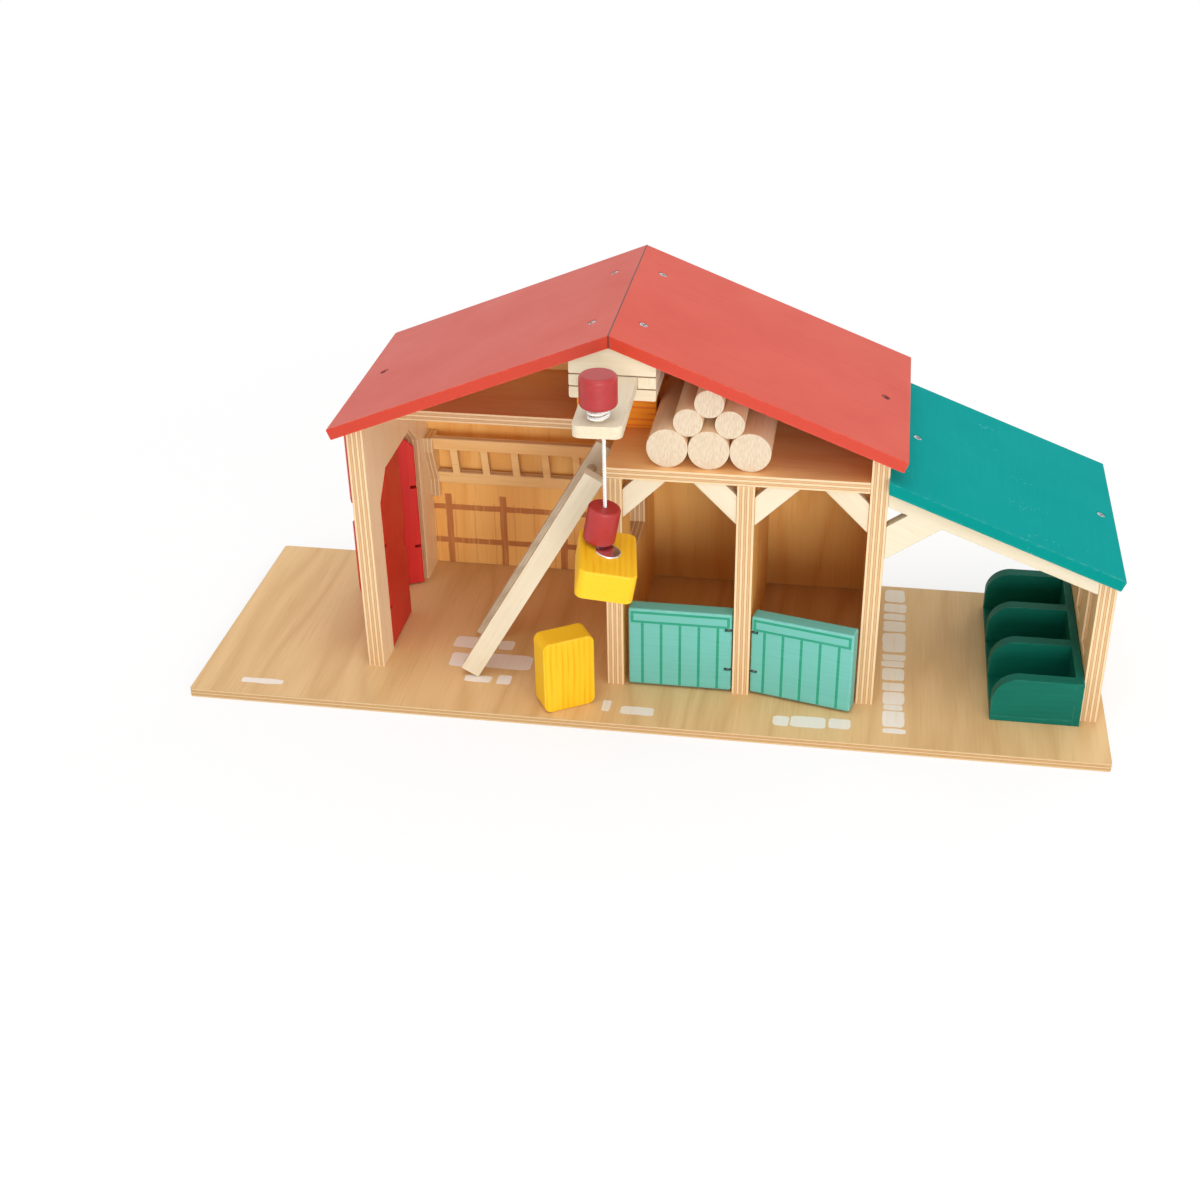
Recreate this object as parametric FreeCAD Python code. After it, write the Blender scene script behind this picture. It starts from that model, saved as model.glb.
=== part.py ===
import FreeCAD
import Part
import math
import os

# Toy barn: a gabled house with a loft, two stalls, a lean-to and a crane in the gable, on one base plate.
# Places are measured from the front left top corner of the base plate: x right, y back, z up.
# save() moves every piece to the part's frame, whose origin is the middle of the base's underside.

# Base plate: as large as the yards and the buildings on it
BASE_T = 6.0
BASE_RIGHT_EDGE = 6.0
BASE_CORNER_R = 2.0

# Boards
WALL_T = 11.0
PANEL_T = 7.5
BRACE_T = 8.0
BOARD_EDGE_R = 0.8

# House
HOUSE_X = 112.0
HOUSE_D = 155.0
WALL_FRONT_Y = 45.0
EAVE_ABOVE_LOFT = 14.0
RIDGE_RISE = 67.65
EAVE_OVERHANG = 10.5
ROOF_FRONT_OVERHANG = 6.5
ROOF_BACK_OVERHANG = 1.0
ROOM_W = 154.0
LEFT_STALL_W = 72.0
RIGHT_STALL_W = 70.0
LOFT_Z = 153.5
LOFT_NOTCH_D = 67.5
STALL_WINDOW_NEAR = 34.0
STALL_WINDOW_FAR = 46.5
STALL_WINDOW_TOP = 33.5
STALL_WINDOW_Z = 70.0
BRACE_SETBACK = 1.5
BRACE_OUTER_LEG = 28.0
BRACE_INNER_LEG = 8.0

# Doorway in the left wall and its two leaves
DOORWAY_NEAR = 23.0
DOORWAY_FAR = 27.0
DOORWAY_H = 131.0
DOORWAY_CHAMFER = 17.5
LEAF_T = 8.0
LEAF_GAP = 0.6
LEAF_MEETING_GAP = 1.2
LEAF_FLOOR_GAP = 1.0
LEAF_EDGE_R = 1.0
LEAF_BEVEL = 7.4
LEAF_AXIS_INSET = 2.3
LEAF_AXIS_DEPTH = 2.0
LEAF_HINGE_HEIGHTS = (32.0, 80.0)
FAR_LEAF_OPEN_DEG = 66.0
NOTCH_Z = 64.5
NOTCH_CHORD = 19.0
NOTCH_DEPTH = 6.0

# Stable doors
LEFT_STABLE_FREE_GAP = 3.2
RIGHT_STABLE_FREE_GAP = 1.2
STABLE_H = 58.0
STABLE_T = 11.0
STABLE_SETBACK = 1.0
STABLE_FLOOR_GAP = 1.5
STABLE_HINGE_GAP = 0.8
STABLE_EDGE_R = 1.5
STABLE_AXIS_INSET = 2.3
STABLE_AXIS_DEPTH = 2.5
STABLE_HINGE_HEIGHTS = (18.0, 48.0)
RIGHT_STABLE_OPEN_DEG = 12.9

# Wire hinges: an eye in the wall round an upright pin that crosses a slot in the door's edge
EYE_WIRE = 1.2
EYE_DEPTH = 4.5
PIN_D = 1.5
PIN_L = 11.0
PIN_RUNNING_CLEAR = 0.08
PRESS_CLEAR = 0.02
SLOT_DEPTH = 4.9
SLOT_H = 2.4

# Lean-to
LEAN_W = 142.0
LEAN_BELOW_EAVE = 18.0
LEAN_PITCH_DEG = 21.5
LEAN_OVERHANG = 1.0
LEAN_WINDOW_W = 21.0
LEAN_WINDOW_H = 50.0
LEAN_WINDOW_Z = 36.0
LEAN_WINDOW_MARGIN = 18.75
LEAN_WINDOW_COUNT = 3
RAFTER_H = 12.0
LEAN_BRACE_DROP = 48.4
LEAN_BRACE_H = 23.0
LEAN_BRACE_DEG = 35.0
CLEAT_W = 30.0
CLEAT_D = 60.0
CLEAT_H = 16.0

# Nest box in the lean-to
NEST_FRONT_Y = 38.0
NEST_W = 56.0
NEST_H = 32.0
NEST_FLOOR_T = 4.0
NEST_BACK_GAP = 19.0
NEST_DIVIDERS = 4
NEST_DIVIDER_T = 8.0
NEST_BACK_T = 5.0
NEST_ROUND_R = 17.0
NEST_WALL_GAP = 0.4

# Hay rack on the back wall of the room
RACK_TOP_Z = 110.0
RACK_SIDE_T = 7.0
RACK_D = 16.5
RACK_FOOT_D = 5.5
RACK_LIP_H = 11.0
RACK_FOOT_H = 14.0
RACK_SLOPE_H = 27.0
GRILLE_T = 4.0
GRILLE_RAIL_H = 10.0
GRILLE_WINDOW_H = 22.0
GRILLE_BAR_W = 5.5
GRILLE_END_W = 11.5
GRILLE_BARS = 6

# Crane: blocks under the ridge that hold a sliding beam with a winch
CRANE_FRONT_Y = 40.0
SLEEVE_D = 50.0
SLEEVE_W = 53.0
SLEEVE_BELOW_RIDGE = 17.85
BEAM_W = 29.0
BEAM_T = 7.5
BEAM_CLEAR = 0.25
BEAM_SIDE_CLEAR = 0.9
BEAM_SKEW_DEG = 1.5
CRANE_SHIFT = 1.8
BEAM_REACH = 72.0
BEAM_TAIL_GAP = 2.0
BEAM_CORNER_R = 5.0
BLOCK_EDGE_R = 1.2
RIDGE_BLOCK_D = 52.0
SPINDLE_SETBACK = 10.5
SPINDLE_D = 8.5
SPINDLE_CLEAR = 0.08
SPINDLE_IN_KNOB = 12.0
WINDING_H = 8.2
KNOB_D = 22.2
KNOB_H = 19.3
KNOB_EDGE_R = 2.5

# Cord, hook and magnet
CORD_D = 2.4
CORD_GAP = 0.6
CORD_TURNS = 1.75
CORD_SEAT_GAP = 0.15
CORD_FLOOR_GAP = 0.3
CORD_HOLE_SETBACK = 18.5
CORD_HOLE_D = 5.0
CORD_BEND_R = 3.0
DROP_L = 58.0
HOOK_D = 20.0
HOOK_H = 22.8
HOOK_EDGE_R = 1.6
HOOK_TILT_DEG = 10.5
HOOK_HOLE_D = 2.8
HOOK_HOLE_DEPTH = 4.0
MAGNET_D = 12.0
MAGNET_T = 3.0
MAGNET_PROUD = 1.0

# Bales, the metal plate on the hanging one and where they lie
BALE_W = 35.0
BALE_L = 52.2
BALE_T = 18.9
BALE_CORNER_R = 5.0
BALE_EDGE_R = 1.2
PLATE_D = 16.0
PLATE_T = 1.2
PLATE_EDGE_R = 0.7
PLATE_GAP = 0.1
HANG_OFF_X = 6.2
HANG_OFF_Y = -9.8
HANG_TURN_DEG = 9.5
FLOOR_BALE_FROM_WALL = 24.1
FLOOR_BALE_Y = 21.0
FLOOR_BALE_TURN_DEG = 31.3
LOFT_BALE_LOG_GAP = 0.88
LOFT_BALE_OVERHANG = 9.0

# Log pile on the loft
LOG_LARGE_R = 12.8
LOG_SMALL_R = 9.1
LOG_L = 95.0
LOG_GAP = 0.12
LOG_PILE_SHARE = 0.3488
LOG_SETBACK = 5.0
LOG_ROW = 3

# Ladder
LADDER_BELOW_LOFT = 9.45
LADDER_LEAN_DEG = 60.0
LADDER_FRONT_Y = 41.0
LADDER_W = 54.0
RAIL_W = 13.0
RAIL_T = 8.0
RUNG_D = 6.0
RUNG_IN_RAIL = 5.0
RUNG_FIRST = 18.0
RUNG_LAST = 19.0
RUNG_CLEAR = 0.1
RUNGS = 7
LADDER_WALL_GAP = 0.3
LADDER_FLOOR_GAP = 0.1

# Countersunk screws in the roofs
SCREW_HEAD_D = 6.0
SCREW_SHANK_D = 3.0
SCREW_L = 16.0
SCREW_HEAD_H = 1.6
SCREW_SUNK = 0.3
SCREW_FROM_RIDGE = 16.0
SCREW_FRONT_Y = 74.5
SCREW_FROM_BACK = 29.5
SCREW_FROM_RIGHT_WALL = 16.5

# One overrun for all cuts
OVER = 1.0

Vec = FreeCAD.Vector
UP = Vec(0, 0, 1)
RIGHT = Vec(1, 0, 0)
BACK = Vec(0, 1, 0)

# Places that several pieces share
base_d = WALL_FRONT_Y + HOUSE_D
back_y = base_d - PANEL_T
wall_d = back_y - WALL_FRONT_Y
wall_mid_y = WALL_FRONT_Y + wall_d / 2
room_left = HOUSE_X + WALL_T
stall_wall_x = room_left + ROOM_W
left_stall_x = stall_wall_x + WALL_T
middle_wall_x = left_stall_x + LEFT_STALL_W
right_stall_x = middle_wall_x + WALL_T
right_wall_x = right_stall_x + RIGHT_STALL_W
house_right = right_wall_x + WALL_T
house_w = house_right - HOUSE_X
lean_right = house_right + LEAN_W
lean_wall_x = lean_right - WALL_T
base_w = lean_right + BASE_RIGHT_EDGE
loft_top = LOFT_Z + PANEL_T
eave_z = loft_top + EAVE_ABOVE_LOFT
ridge_x = HOUSE_X + house_w / 2
ridge_z = eave_z + RIDGE_RISE
pitch = math.atan2(RIDGE_RISE, house_w / 2)
lean_top_z = eave_z - LEAN_BELOW_EAVE
lean_pitch = math.radians(LEAN_PITCH_DEG)
roof_front_y = WALL_FRONT_Y - ROOF_FRONT_OVERHANG
roof_d = base_d + ROOF_BACK_OVERHANG - roof_front_y
doorway_y = WALL_FRONT_Y + DOORWAY_NEAR
doorway_w = wall_d - DOORWAY_NEAR - DOORWAY_FAR
sleeve_top_z = ridge_z - SLEEVE_BELOW_RIDGE
channel_h = BEAM_T + 2 * BEAM_CLEAR
channel_z = sleeve_top_z - channel_h
beam_z = channel_z + BEAM_CLEAR
beam_top = beam_z + BEAM_T
beam_front_y = CRANE_FRONT_Y - BEAM_REACH
spindle_y = beam_front_y + SPINDLE_SETBACK
cord_hole_y = spindle_y + CORD_HOLE_SETBACK
crane_x = ridge_x + CRANE_SHIFT
sleeve_middle = Vec(crane_x, CRANE_FRONT_Y + SLEEVE_D / 2, 0)
log_spacing = 2 * LOG_LARGE_R + LOG_GAP
log_pile_x = ridge_x + LOG_PILE_SHARE * house_w / 2


def roof_under(x):
    return ridge_z - abs(x - ridge_x) * math.tan(pitch)


def lean_under(x):
    return lean_top_z - (x - house_right) * math.tan(lean_pitch)


def box(x, y, z, dx, dy, dz):
    return Part.makeBox(dx, dy, dz, Vec(x, y, z))


def prism(points, sweep):
    return Part.Face(Part.makePolygon(points + points[:1])).extrude(sweep)


def plate_xz(outline, y, depth):
    return prism([Vec(x, y, z) for x, z in outline], BACK * depth)


def plate_yz(outline, x, depth):
    return prism([Vec(x, y, z) for y, z in outline], RIGHT * depth)


def plate_xy(outline, z, depth):
    return prism([Vec(x, y, z) for x, y in outline], UP * depth)


def rod(start, direction, diameter, length):
    return Part.makeCylinder(diameter / 2, length, start, direction)


def edges_along(shape, axis, wanted=lambda place: True):
    picked = []
    for edge in shape.Edges:
        line = edge.Vertexes[-1].Point - edge.Vertexes[0].Point
        if line.Length > 0 and line.cross(axis).Length < line.Length / base_w and wanted(edge.CenterOfMass):
            picked.append(edge)
    return picked


def edges_at(shape, z):
    picked = []
    for edge in shape.Edges:
        bounds = edge.BoundBox
        if abs(bounds.ZMin - z) + abs(bounds.ZMax - z) < BOARD_EDGE_R:
            picked.append(edge)
    return picked


def soften(shape, radius, axis, wanted=lambda place: True):
    return shape.makeFillet(radius, edges_along(shape, axis, wanted))


def turned(shape, centre, axis, degrees):
    copy = shape.copy()
    copy.rotate(centre, axis, degrees)
    return copy


def on_beam(shape):
    # The beam sits a little askew in its wide channel, and so does all that it carries.
    return turned(shape, sleeve_middle, UP, BEAM_SKEW_DEG)


def save(name, *solids):
    shape = solids[0].copy() if len(solids) == 1 else Part.makeCompound(list(solids))
    shape.translate(Vec(-base_w / 2, -base_d / 2, BASE_T))
    for solid in shape.Solids:
        if not solid.isValid():
            raise ValueError(name + " is not a valid solid")
    if len(shape.Solids) != len(solids):
        raise ValueError(name + " is not one solid per piece")
    shape.exportStep(os.path.join("parts", name + ".step"))


# Hinges


def eye_hole(place, toward, gap):
    return rod(place + toward * gap, toward, EYE_WIRE + 2 * PRESS_CLEAR, EYE_DEPTH)


def hinge_eye(place, toward, gap):
    ring_r = PIN_D / 2 + PIN_RUNNING_CLEAR + EYE_WIRE / 2
    ring = Part.makeTorus(ring_r, EYE_WIRE / 2, place, UP)
    return ring.fuse(rod(place + toward * ring_r, toward, EYE_WIRE, gap + EYE_DEPTH - ring_r))


def hinge_pin(place):
    return rod(place - UP * (PIN_L / 2), UP, PIN_D, PIN_L)


def pin_bore(place):
    length = PIN_L + 2 * PRESS_CLEAR
    return rod(place - UP * (length / 2), UP, PIN_D + 2 * PRESS_CLEAR, length)


# Base, walls, loft and roofs


def base_plate():
    plate = box(0, 0, -BASE_T, base_w, base_d, BASE_T)
    return soften(plate, BASE_CORNER_R, UP)


def doorway_outline(inset):
    near = doorway_y + inset
    far = doorway_y + doorway_w - inset
    top = DOORWAY_H - inset
    spring = DOORWAY_H - DOORWAY_CHAMFER - inset
    return [(near, -OVER), (far, -OVER), (far, spring), (far - DOORWAY_CHAMFER, top),
            (near + DOORWAY_CHAMFER, top), (near, spring)]


def left_wall():
    outline = [(HOUSE_X, 0), (room_left, 0), (room_left, roof_under(room_left)), (HOUSE_X, eave_z)]
    wall = plate_xz(outline, WALL_FRONT_Y, wall_d)
    wall = wall.cut(plate_yz(doorway_outline(0), HOUSE_X - OVER, WALL_T + 2 * OVER))
    for place, toward, gap in leaf_hinges():
        wall = wall.cut(eye_hole(place, toward, gap))
    return wall


def stall_wall():
    wall = box(stall_wall_x, WALL_FRONT_Y, 0, WALL_T, wall_d, LOFT_Z)
    width = wall_d - STALL_WINDOW_NEAR - STALL_WINDOW_FAR
    height = LOFT_Z - STALL_WINDOW_TOP - STALL_WINDOW_Z
    near = WALL_FRONT_Y + STALL_WINDOW_NEAR
    return wall.cut(box(stall_wall_x - OVER, near, STALL_WINDOW_Z, WALL_T + 2 * OVER, width, height))


def middle_wall():
    wall = box(middle_wall_x, WALL_FRONT_Y, 0, WALL_T, wall_d, LOFT_Z)
    for place, toward, gap in stable_hinges():
        wall = wall.cut(eye_hole(place, toward, gap))
    return wall


def right_wall():
    outline = [(right_wall_x, 0), (house_right, 0), (house_right, eave_z),
               (right_wall_x, roof_under(right_wall_x))]
    return plate_xz(outline, WALL_FRONT_Y, wall_d)


def back_wall():
    outline = [(HOUSE_X, 0), (house_right, 0), (house_right, eave_z), (ridge_x, ridge_z), (HOUSE_X, eave_z)]
    return plate_xz(outline, back_y, PANEL_T)


def loft_floor():
    notch_y = WALL_FRONT_Y + LOFT_NOTCH_D
    outline = [(room_left, notch_y), (stall_wall_x, notch_y), (stall_wall_x, WALL_FRONT_Y),
               (right_wall_x, WALL_FRONT_Y), (right_wall_x, back_y), (room_left, back_y)]
    return plate_xy(outline, LOFT_Z, PANEL_T)


def sloped_panel(top_x, top_z, angle, reach):
    # The panel falls to the right from an upright cut at its top, and its lower end is square.
    run = (reach - PANEL_T * math.sin(angle)) / math.cos(angle)
    low = (top_x + run * math.cos(angle), top_z - run * math.sin(angle))
    outer = (low[0] + PANEL_T * math.sin(angle), low[1] + PANEL_T * math.cos(angle))
    outline = [(top_x, top_z), low, outer, (top_x, top_z + PANEL_T / math.cos(angle))]
    panel = plate_xz(outline, roof_front_y, roof_d)
    return soften(panel, BOARD_EDGE_R, BACK, lambda place: place.x > top_x + reach / 2)


def roof_right():
    return sloped_panel(ridge_x, ridge_z, pitch, house_w / 2 + EAVE_OVERHANG)


def mirrored(shape):
    return shape.mirror(Vec(ridge_x, 0, 0), RIGHT)


def lean_to_roof():
    reach = LEAN_W + LEAN_OVERHANG + PANEL_T * math.sin(lean_pitch)
    return sloped_panel(house_right, lean_top_z, lean_pitch, reach)


def lean_to_wall():
    outline = [(lean_wall_x, 0), (lean_right, 0), (lean_right, lean_under(lean_right)),
               (lean_wall_x, lean_under(lean_wall_x))]
    wall = plate_xz(outline, WALL_FRONT_Y, wall_d)
    spacing = (wall_d - 2 * LEAN_WINDOW_MARGIN - LEAN_WINDOW_W) / (LEAN_WINDOW_COUNT - 1)
    for index in range(LEAN_WINDOW_COUNT):
        near = WALL_FRONT_Y + LEAN_WINDOW_MARGIN + index * spacing
        wall = wall.cut(box(lean_wall_x - OVER, near, LEAN_WINDOW_Z,
                            WALL_T + 2 * OVER, LEAN_WINDOW_W, LEAN_WINDOW_H))
    return wall


def lean_to_truss():
    # A rafter under the lean-to roof with a knee brace to the house wall, cut from one board.
    brace_slope = math.tan(math.radians(LEAN_BRACE_DEG))
    rafter_low = lean_top_z - RAFTER_H
    brace_z = lean_top_z - LEAN_BRACE_DROP
    fall = math.tan(lean_pitch)

    def meeting(start_z):
        run = (rafter_low - start_z) / (brace_slope + fall)
        return (house_right + run, start_z + run * brace_slope)

    outline = [(house_right, lean_top_z), (lean_wall_x, lean_under(lean_wall_x)),
               (lean_wall_x, lean_under(lean_wall_x) - RAFTER_H), meeting(brace_z),
               (house_right, brace_z), (house_right, brace_z + LEAN_BRACE_H),
               meeting(brace_z + LEAN_BRACE_H), (house_right, rafter_low)]
    return plate_xz(outline, WALL_FRONT_Y, BRACE_T)


def lean_to_cleat():
    right = house_right + CLEAT_W
    outline = [(house_right, lean_top_z), (house_right, lean_under(right) - CLEAT_H),
               (right, lean_under(right) - CLEAT_H), (right, lean_under(right))]
    return plate_xz(outline, wall_mid_y - CLEAT_D / 2, CLEAT_D)


def stall_brace(corner_x, side):
    outline = [(corner_x, LOFT_Z - BRACE_INNER_LEG), (corner_x, LOFT_Z - BRACE_OUTER_LEG),
               (corner_x + side * BRACE_OUTER_LEG, LOFT_Z), (corner_x + side * BRACE_INNER_LEG, LOFT_Z)]
    return plate_xz(outline, WALL_FRONT_Y + BRACE_SETBACK, BRACE_T)


# Doors


def leaf_hinges():
    x = room_left - LEAF_T + LEAF_AXIS_DEPTH
    gap = LEAF_GAP + LEAF_AXIS_INSET
    near_y = doorway_y + gap
    far_y = doorway_y + doorway_w - gap
    return ([(Vec(x, near_y, z), -BACK, gap) for z in LEAF_HINGE_HEIGHTS]
            + [(Vec(x, far_y, z), BACK, gap) for z in LEAF_HINGE_HEIGHTS])


def near_leaf():
    # Closed: the free edge meets the other leaf at the middle of the doorway.
    free_y = doorway_y + doorway_w / 2 - LEAF_MEETING_GAP / 2
    outline = doorway_outline(LEAF_GAP)
    blank = plate_yz(outline, room_left - LEAF_T, LEAF_T)
    keep = box(room_left - LEAF_T, doorway_y, LEAF_FLOOR_GAP, LEAF_T, free_y - doorway_y, DOORWAY_H)
    # Behind the chamfer the corner is bevelled, so that it swings out past the doorway's own corner.
    inner = Vec(room_left, doorway_y - OVER, DOORWAY_H - DOORWAY_CHAMFER - 2 * LEAF_GAP - OVER)
    outer = inner - RIGHT * (LEAF_T + OVER)
    fall = LEAF_BEVEL * (LEAF_T + OVER) / LEAF_T
    run = DOORWAY_CHAMFER + LEAF_BEVEL + 2 * OVER
    wedge = prism([inner, outer - UP * fall, outer + UP * OVER], (BACK + UP) * run)
    leaf = blank.common(keep).cut(wedge)
    leaf = leaf.makeFillet(LEAF_EDGE_R, leaf.Edges)
    notch_r = (NOTCH_CHORD ** 2 / 4 + NOTCH_DEPTH ** 2) / (2 * NOTCH_DEPTH)
    notch_at = Vec(room_left - LEAF_T - OVER, free_y - NOTCH_DEPTH + notch_r, NOTCH_Z)
    leaf = leaf.cut(rod(notch_at, RIGHT, 2 * notch_r, LEAF_T + 2 * OVER))
    for place, toward, gap in leaf_hinges()[:len(LEAF_HINGE_HEIGHTS)]:
        edge_y = doorway_y + LEAF_GAP
        slot = box(room_left - LEAF_T - OVER, edge_y - OVER, place.z - SLOT_H / 2,
                   LEAF_T + 2 * OVER, SLOT_DEPTH + OVER, SLOT_H)
        leaf = leaf.cut(slot).cut(pin_bore(place))
    return leaf


def far_leaf(closed_near):
    middle = Vec(0, doorway_y + doorway_w / 2, 0)
    place = leaf_hinges()[-1][0]
    return turned(closed_near.mirror(middle, BACK), place, UP, -FAR_LEAF_OPEN_DEG)


def stable_hinges():
    y = WALL_FRONT_Y + STABLE_SETBACK + STABLE_AXIS_DEPTH
    gap = STABLE_HINGE_GAP + STABLE_AXIS_INSET
    left = [(Vec(middle_wall_x - gap, y, z), RIGHT, gap) for z in STABLE_HINGE_HEIGHTS]
    right = [(Vec(right_stall_x + gap, y, z), -RIGHT, gap) for z in STABLE_HINGE_HEIGHTS]
    return left + right


def stable_door(width):
    # Closed, hinged on the middle wall's left side.
    front_y = WALL_FRONT_Y + STABLE_SETBACK
    edge_x = middle_wall_x - STABLE_HINGE_GAP
    door = box(edge_x - width, front_y, STABLE_FLOOR_GAP, width, STABLE_T, STABLE_H)
    door = door.makeFillet(STABLE_EDGE_R, door.Edges)
    for place, toward, gap in stable_hinges()[:len(STABLE_HINGE_HEIGHTS)]:
        slot = box(edge_x - SLOT_DEPTH, front_y - OVER, place.z - SLOT_H / 2,
                   SLOT_DEPTH + OVER, STABLE_T + 2 * OVER, SLOT_H)
        door = door.cut(slot).cut(pin_bore(place))
    return door


def left_stable_door():
    return stable_door(LEFT_STALL_W - STABLE_HINGE_GAP - LEFT_STABLE_FREE_GAP)


def right_stable_door():
    door = stable_door(RIGHT_STALL_W - STABLE_HINGE_GAP - RIGHT_STABLE_FREE_GAP)
    middle = Vec(middle_wall_x + WALL_T / 2, 0, 0)
    return turned(door.mirror(middle, RIGHT), stable_hinges()[-1][0], UP, -RIGHT_STABLE_OPEN_DEG)


# Nest box and hay rack


nest_left = lean_wall_x - NEST_WALL_GAP - NEST_W
nest_d = base_d - NEST_BACK_GAP - NEST_FRONT_Y


def nest_divider(index):
    front = NEST_FRONT_Y + index * (nest_d - NEST_DIVIDER_T) / (NEST_DIVIDERS - 1)
    height = NEST_H - NEST_FLOOR_T
    blank = box(nest_left, front, NEST_FLOOR_T, NEST_W - NEST_BACK_T, NEST_DIVIDER_T, height)
    return soften(blank, NEST_ROUND_R, BACK,
                  lambda place: place.x < nest_left + OVER and place.z > NEST_H / 2)


def nest_floor():
    return box(nest_left, NEST_FRONT_Y, 0, NEST_W - NEST_BACK_T, nest_d, NEST_FLOOR_T)


def nest_back():
    return box(nest_left + NEST_W - NEST_BACK_T, NEST_FRONT_Y, 0, NEST_BACK_T, nest_d, NEST_H)


def rack_side(x):
    front = back_y - RACK_D
    foot = back_y - RACK_FOOT_D
    lip_z = RACK_TOP_Z - RACK_LIP_H
    foot_z = lip_z - RACK_SLOPE_H
    outline = [(back_y, RACK_TOP_Z), (front, RACK_TOP_Z), (front, lip_z), (foot, foot_z),
               (foot, foot_z - RACK_FOOT_H), (back_y, foot_z - RACK_FOOT_H)]
    return plate_yz(outline, x, RACK_SIDE_T)


def rack_grille():
    # A slatted board between the sides, leaning out from the wall as the sides' front edges do.
    lean = math.degrees(math.atan2(RACK_D - RACK_FOOT_D, RACK_LIP_H + RACK_SLOPE_H))
    left = room_left + RACK_SIDE_T
    width = ROOM_W - 2 * RACK_SIDE_T
    height = 2 * GRILLE_RAIL_H + GRILLE_WINDOW_H
    top = Vec(left, back_y - RACK_D, RACK_TOP_Z)
    low = top.z - height
    board = box(left, top.y, low, width, GRILLE_T, height)
    edges = [left]
    spacing = (width - 2 * GRILLE_END_W - GRILLE_BAR_W) / (GRILLE_BARS - 1)
    for index in range(GRILLE_BARS):
        start = left + GRILLE_END_W + index * spacing
        edges += [start, start + GRILLE_BAR_W]
    edges.append(left + width)
    for start, end in zip(edges[::2], edges[1::2]):
        board = board.cut(box(start, top.y - OVER, low + GRILLE_RAIL_H, end - start,
                              GRILLE_T + 2 * OVER, GRILLE_WINDOW_H))
    return turned(board, top, RIGHT, lean)


# Crane


def gable_block(middle_x, front_y, depth):
    left = middle_x - SLEEVE_W / 2
    right = middle_x + SLEEVE_W / 2
    outline = [(left, sleeve_top_z), (right, sleeve_top_z), (right, roof_under(right)), (ridge_x, ridge_z),
               (left, roof_under(left))]
    block = plate_xz(outline, front_y, depth)
    return soften(block, BLOCK_EDGE_R, BACK, lambda place: place.z < sleeve_top_z + OVER)


def sleeve_side():
    outer_x = crane_x - SLEEVE_W / 2
    width = (SLEEVE_W - BEAM_W) / 2 - BEAM_SIDE_CLEAR
    block = box(outer_x, CRANE_FRONT_Y, channel_z, width, SLEEVE_D, channel_h)
    return soften(block, BLOCK_EDGE_R, BACK, lambda place: place.x < outer_x + OVER)


def sleeve_bottom():
    plate = box(crane_x - SLEEVE_W / 2, CRANE_FRONT_Y, channel_z - PANEL_T, SLEEVE_W, SLEEVE_D, PANEL_T)
    return soften(plate, BLOCK_EDGE_R, BACK)


def crane_beam():
    length = BEAM_REACH + SLEEVE_D - BEAM_TAIL_GAP
    beam = box(crane_x - BEAM_W / 2, beam_front_y, beam_z, BEAM_W, length, BEAM_T)
    beam = soften(beam, BEAM_CORNER_R, UP, lambda place: place.y < CRANE_FRONT_Y)
    for y, diameter in ((spindle_y, SPINDLE_D + 2 * SPINDLE_CLEAR), (cord_hole_y, CORD_HOLE_D)):
        beam = beam.cut(rod(Vec(crane_x, y, beam_z - OVER), UP, diameter, BEAM_T + 2 * OVER))
    return beam


def winch_spindle():
    length = BEAM_T + WINDING_H + SPINDLE_IN_KNOB
    return rod(Vec(crane_x, spindle_y, beam_z), UP, SPINDLE_D, length)


def winch_knob():
    low = Vec(crane_x, spindle_y, beam_top + WINDING_H)
    knob = rod(low, UP, KNOB_D, KNOB_H)
    knob = knob.makeFillet(KNOB_EDGE_R, [edge for edge in knob.Edges if edge.Closed])
    return knob.cut(rod(low, UP, SPINDLE_D, SPINDLE_IN_KNOB))


# Cord


def arc_between(start, toward, end):
    # The arc from start to end whose end tangents meet at the point toward.
    middle = (start + end) * 0.5
    share = (end - start).Length / 2 / (toward - start).Length
    return Part.Arc(start, middle + (toward - middle) * (share / (1 + share)), end).toShape()


def biarc(start, start_way, end, end_way):
    span = end - start
    ways = start_way + end_way
    bend = 2 * (1 - start_way.dot(end_way))
    reach = (math.sqrt(span.dot(ways) ** 2 + bend * span.dot(span)) - span.dot(ways)) / bend
    first = start + start_way * reach
    last = end - end_way * reach
    joint = (first + last) * 0.5
    return [arc_between(start, first, joint), arc_between(joint, last, end)]


def tube(edges, start, way):
    path = Part.Wire(edges)
    section = Part.Wire(Part.Circle(start, way, CORD_D / 2).toShape())
    return path.makePipeShell([section], True, False), path


def winding_points():
    # Stations a quarter turn apart up the spindle: places and directions of travel.
    radius = SPINDLE_D / 2 + CORD_SEAT_GAP + CORD_D / 2
    rise = CORD_D + CORD_GAP
    first = math.pi / 2 + math.acos(radius / CORD_HOLE_SETBACK)
    low = beam_top + CORD_FLOOR_GAP + CORD_D / 2
    stations = []
    for quarter in range(int(CORD_TURNS * 4) + 1):
        angle = first + quarter * math.pi / 2
        out = Vec(math.cos(angle), math.sin(angle), 0) * radius
        place = Vec(crane_x, spindle_y, low + rise * quarter / 4) + out
        slope = 0 if quarter == 0 else rise / (2 * math.pi * radius)
        way = Vec(-math.sin(angle), math.cos(angle), slope)
        stations.append((place, way.normalize()))
    return stations


def least_self_gap(path, turn_length):
    count = int(path.Length / CORD_GAP)
    points = path.discretize(count)
    step = path.Length / (count - 1)
    apart = int(turn_length / 2 / step)
    gaps = [(points[i] - points[k]).Length for i in range(count) for k in range(i + apart, count)]
    return min(gaps) - CORD_D


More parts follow.
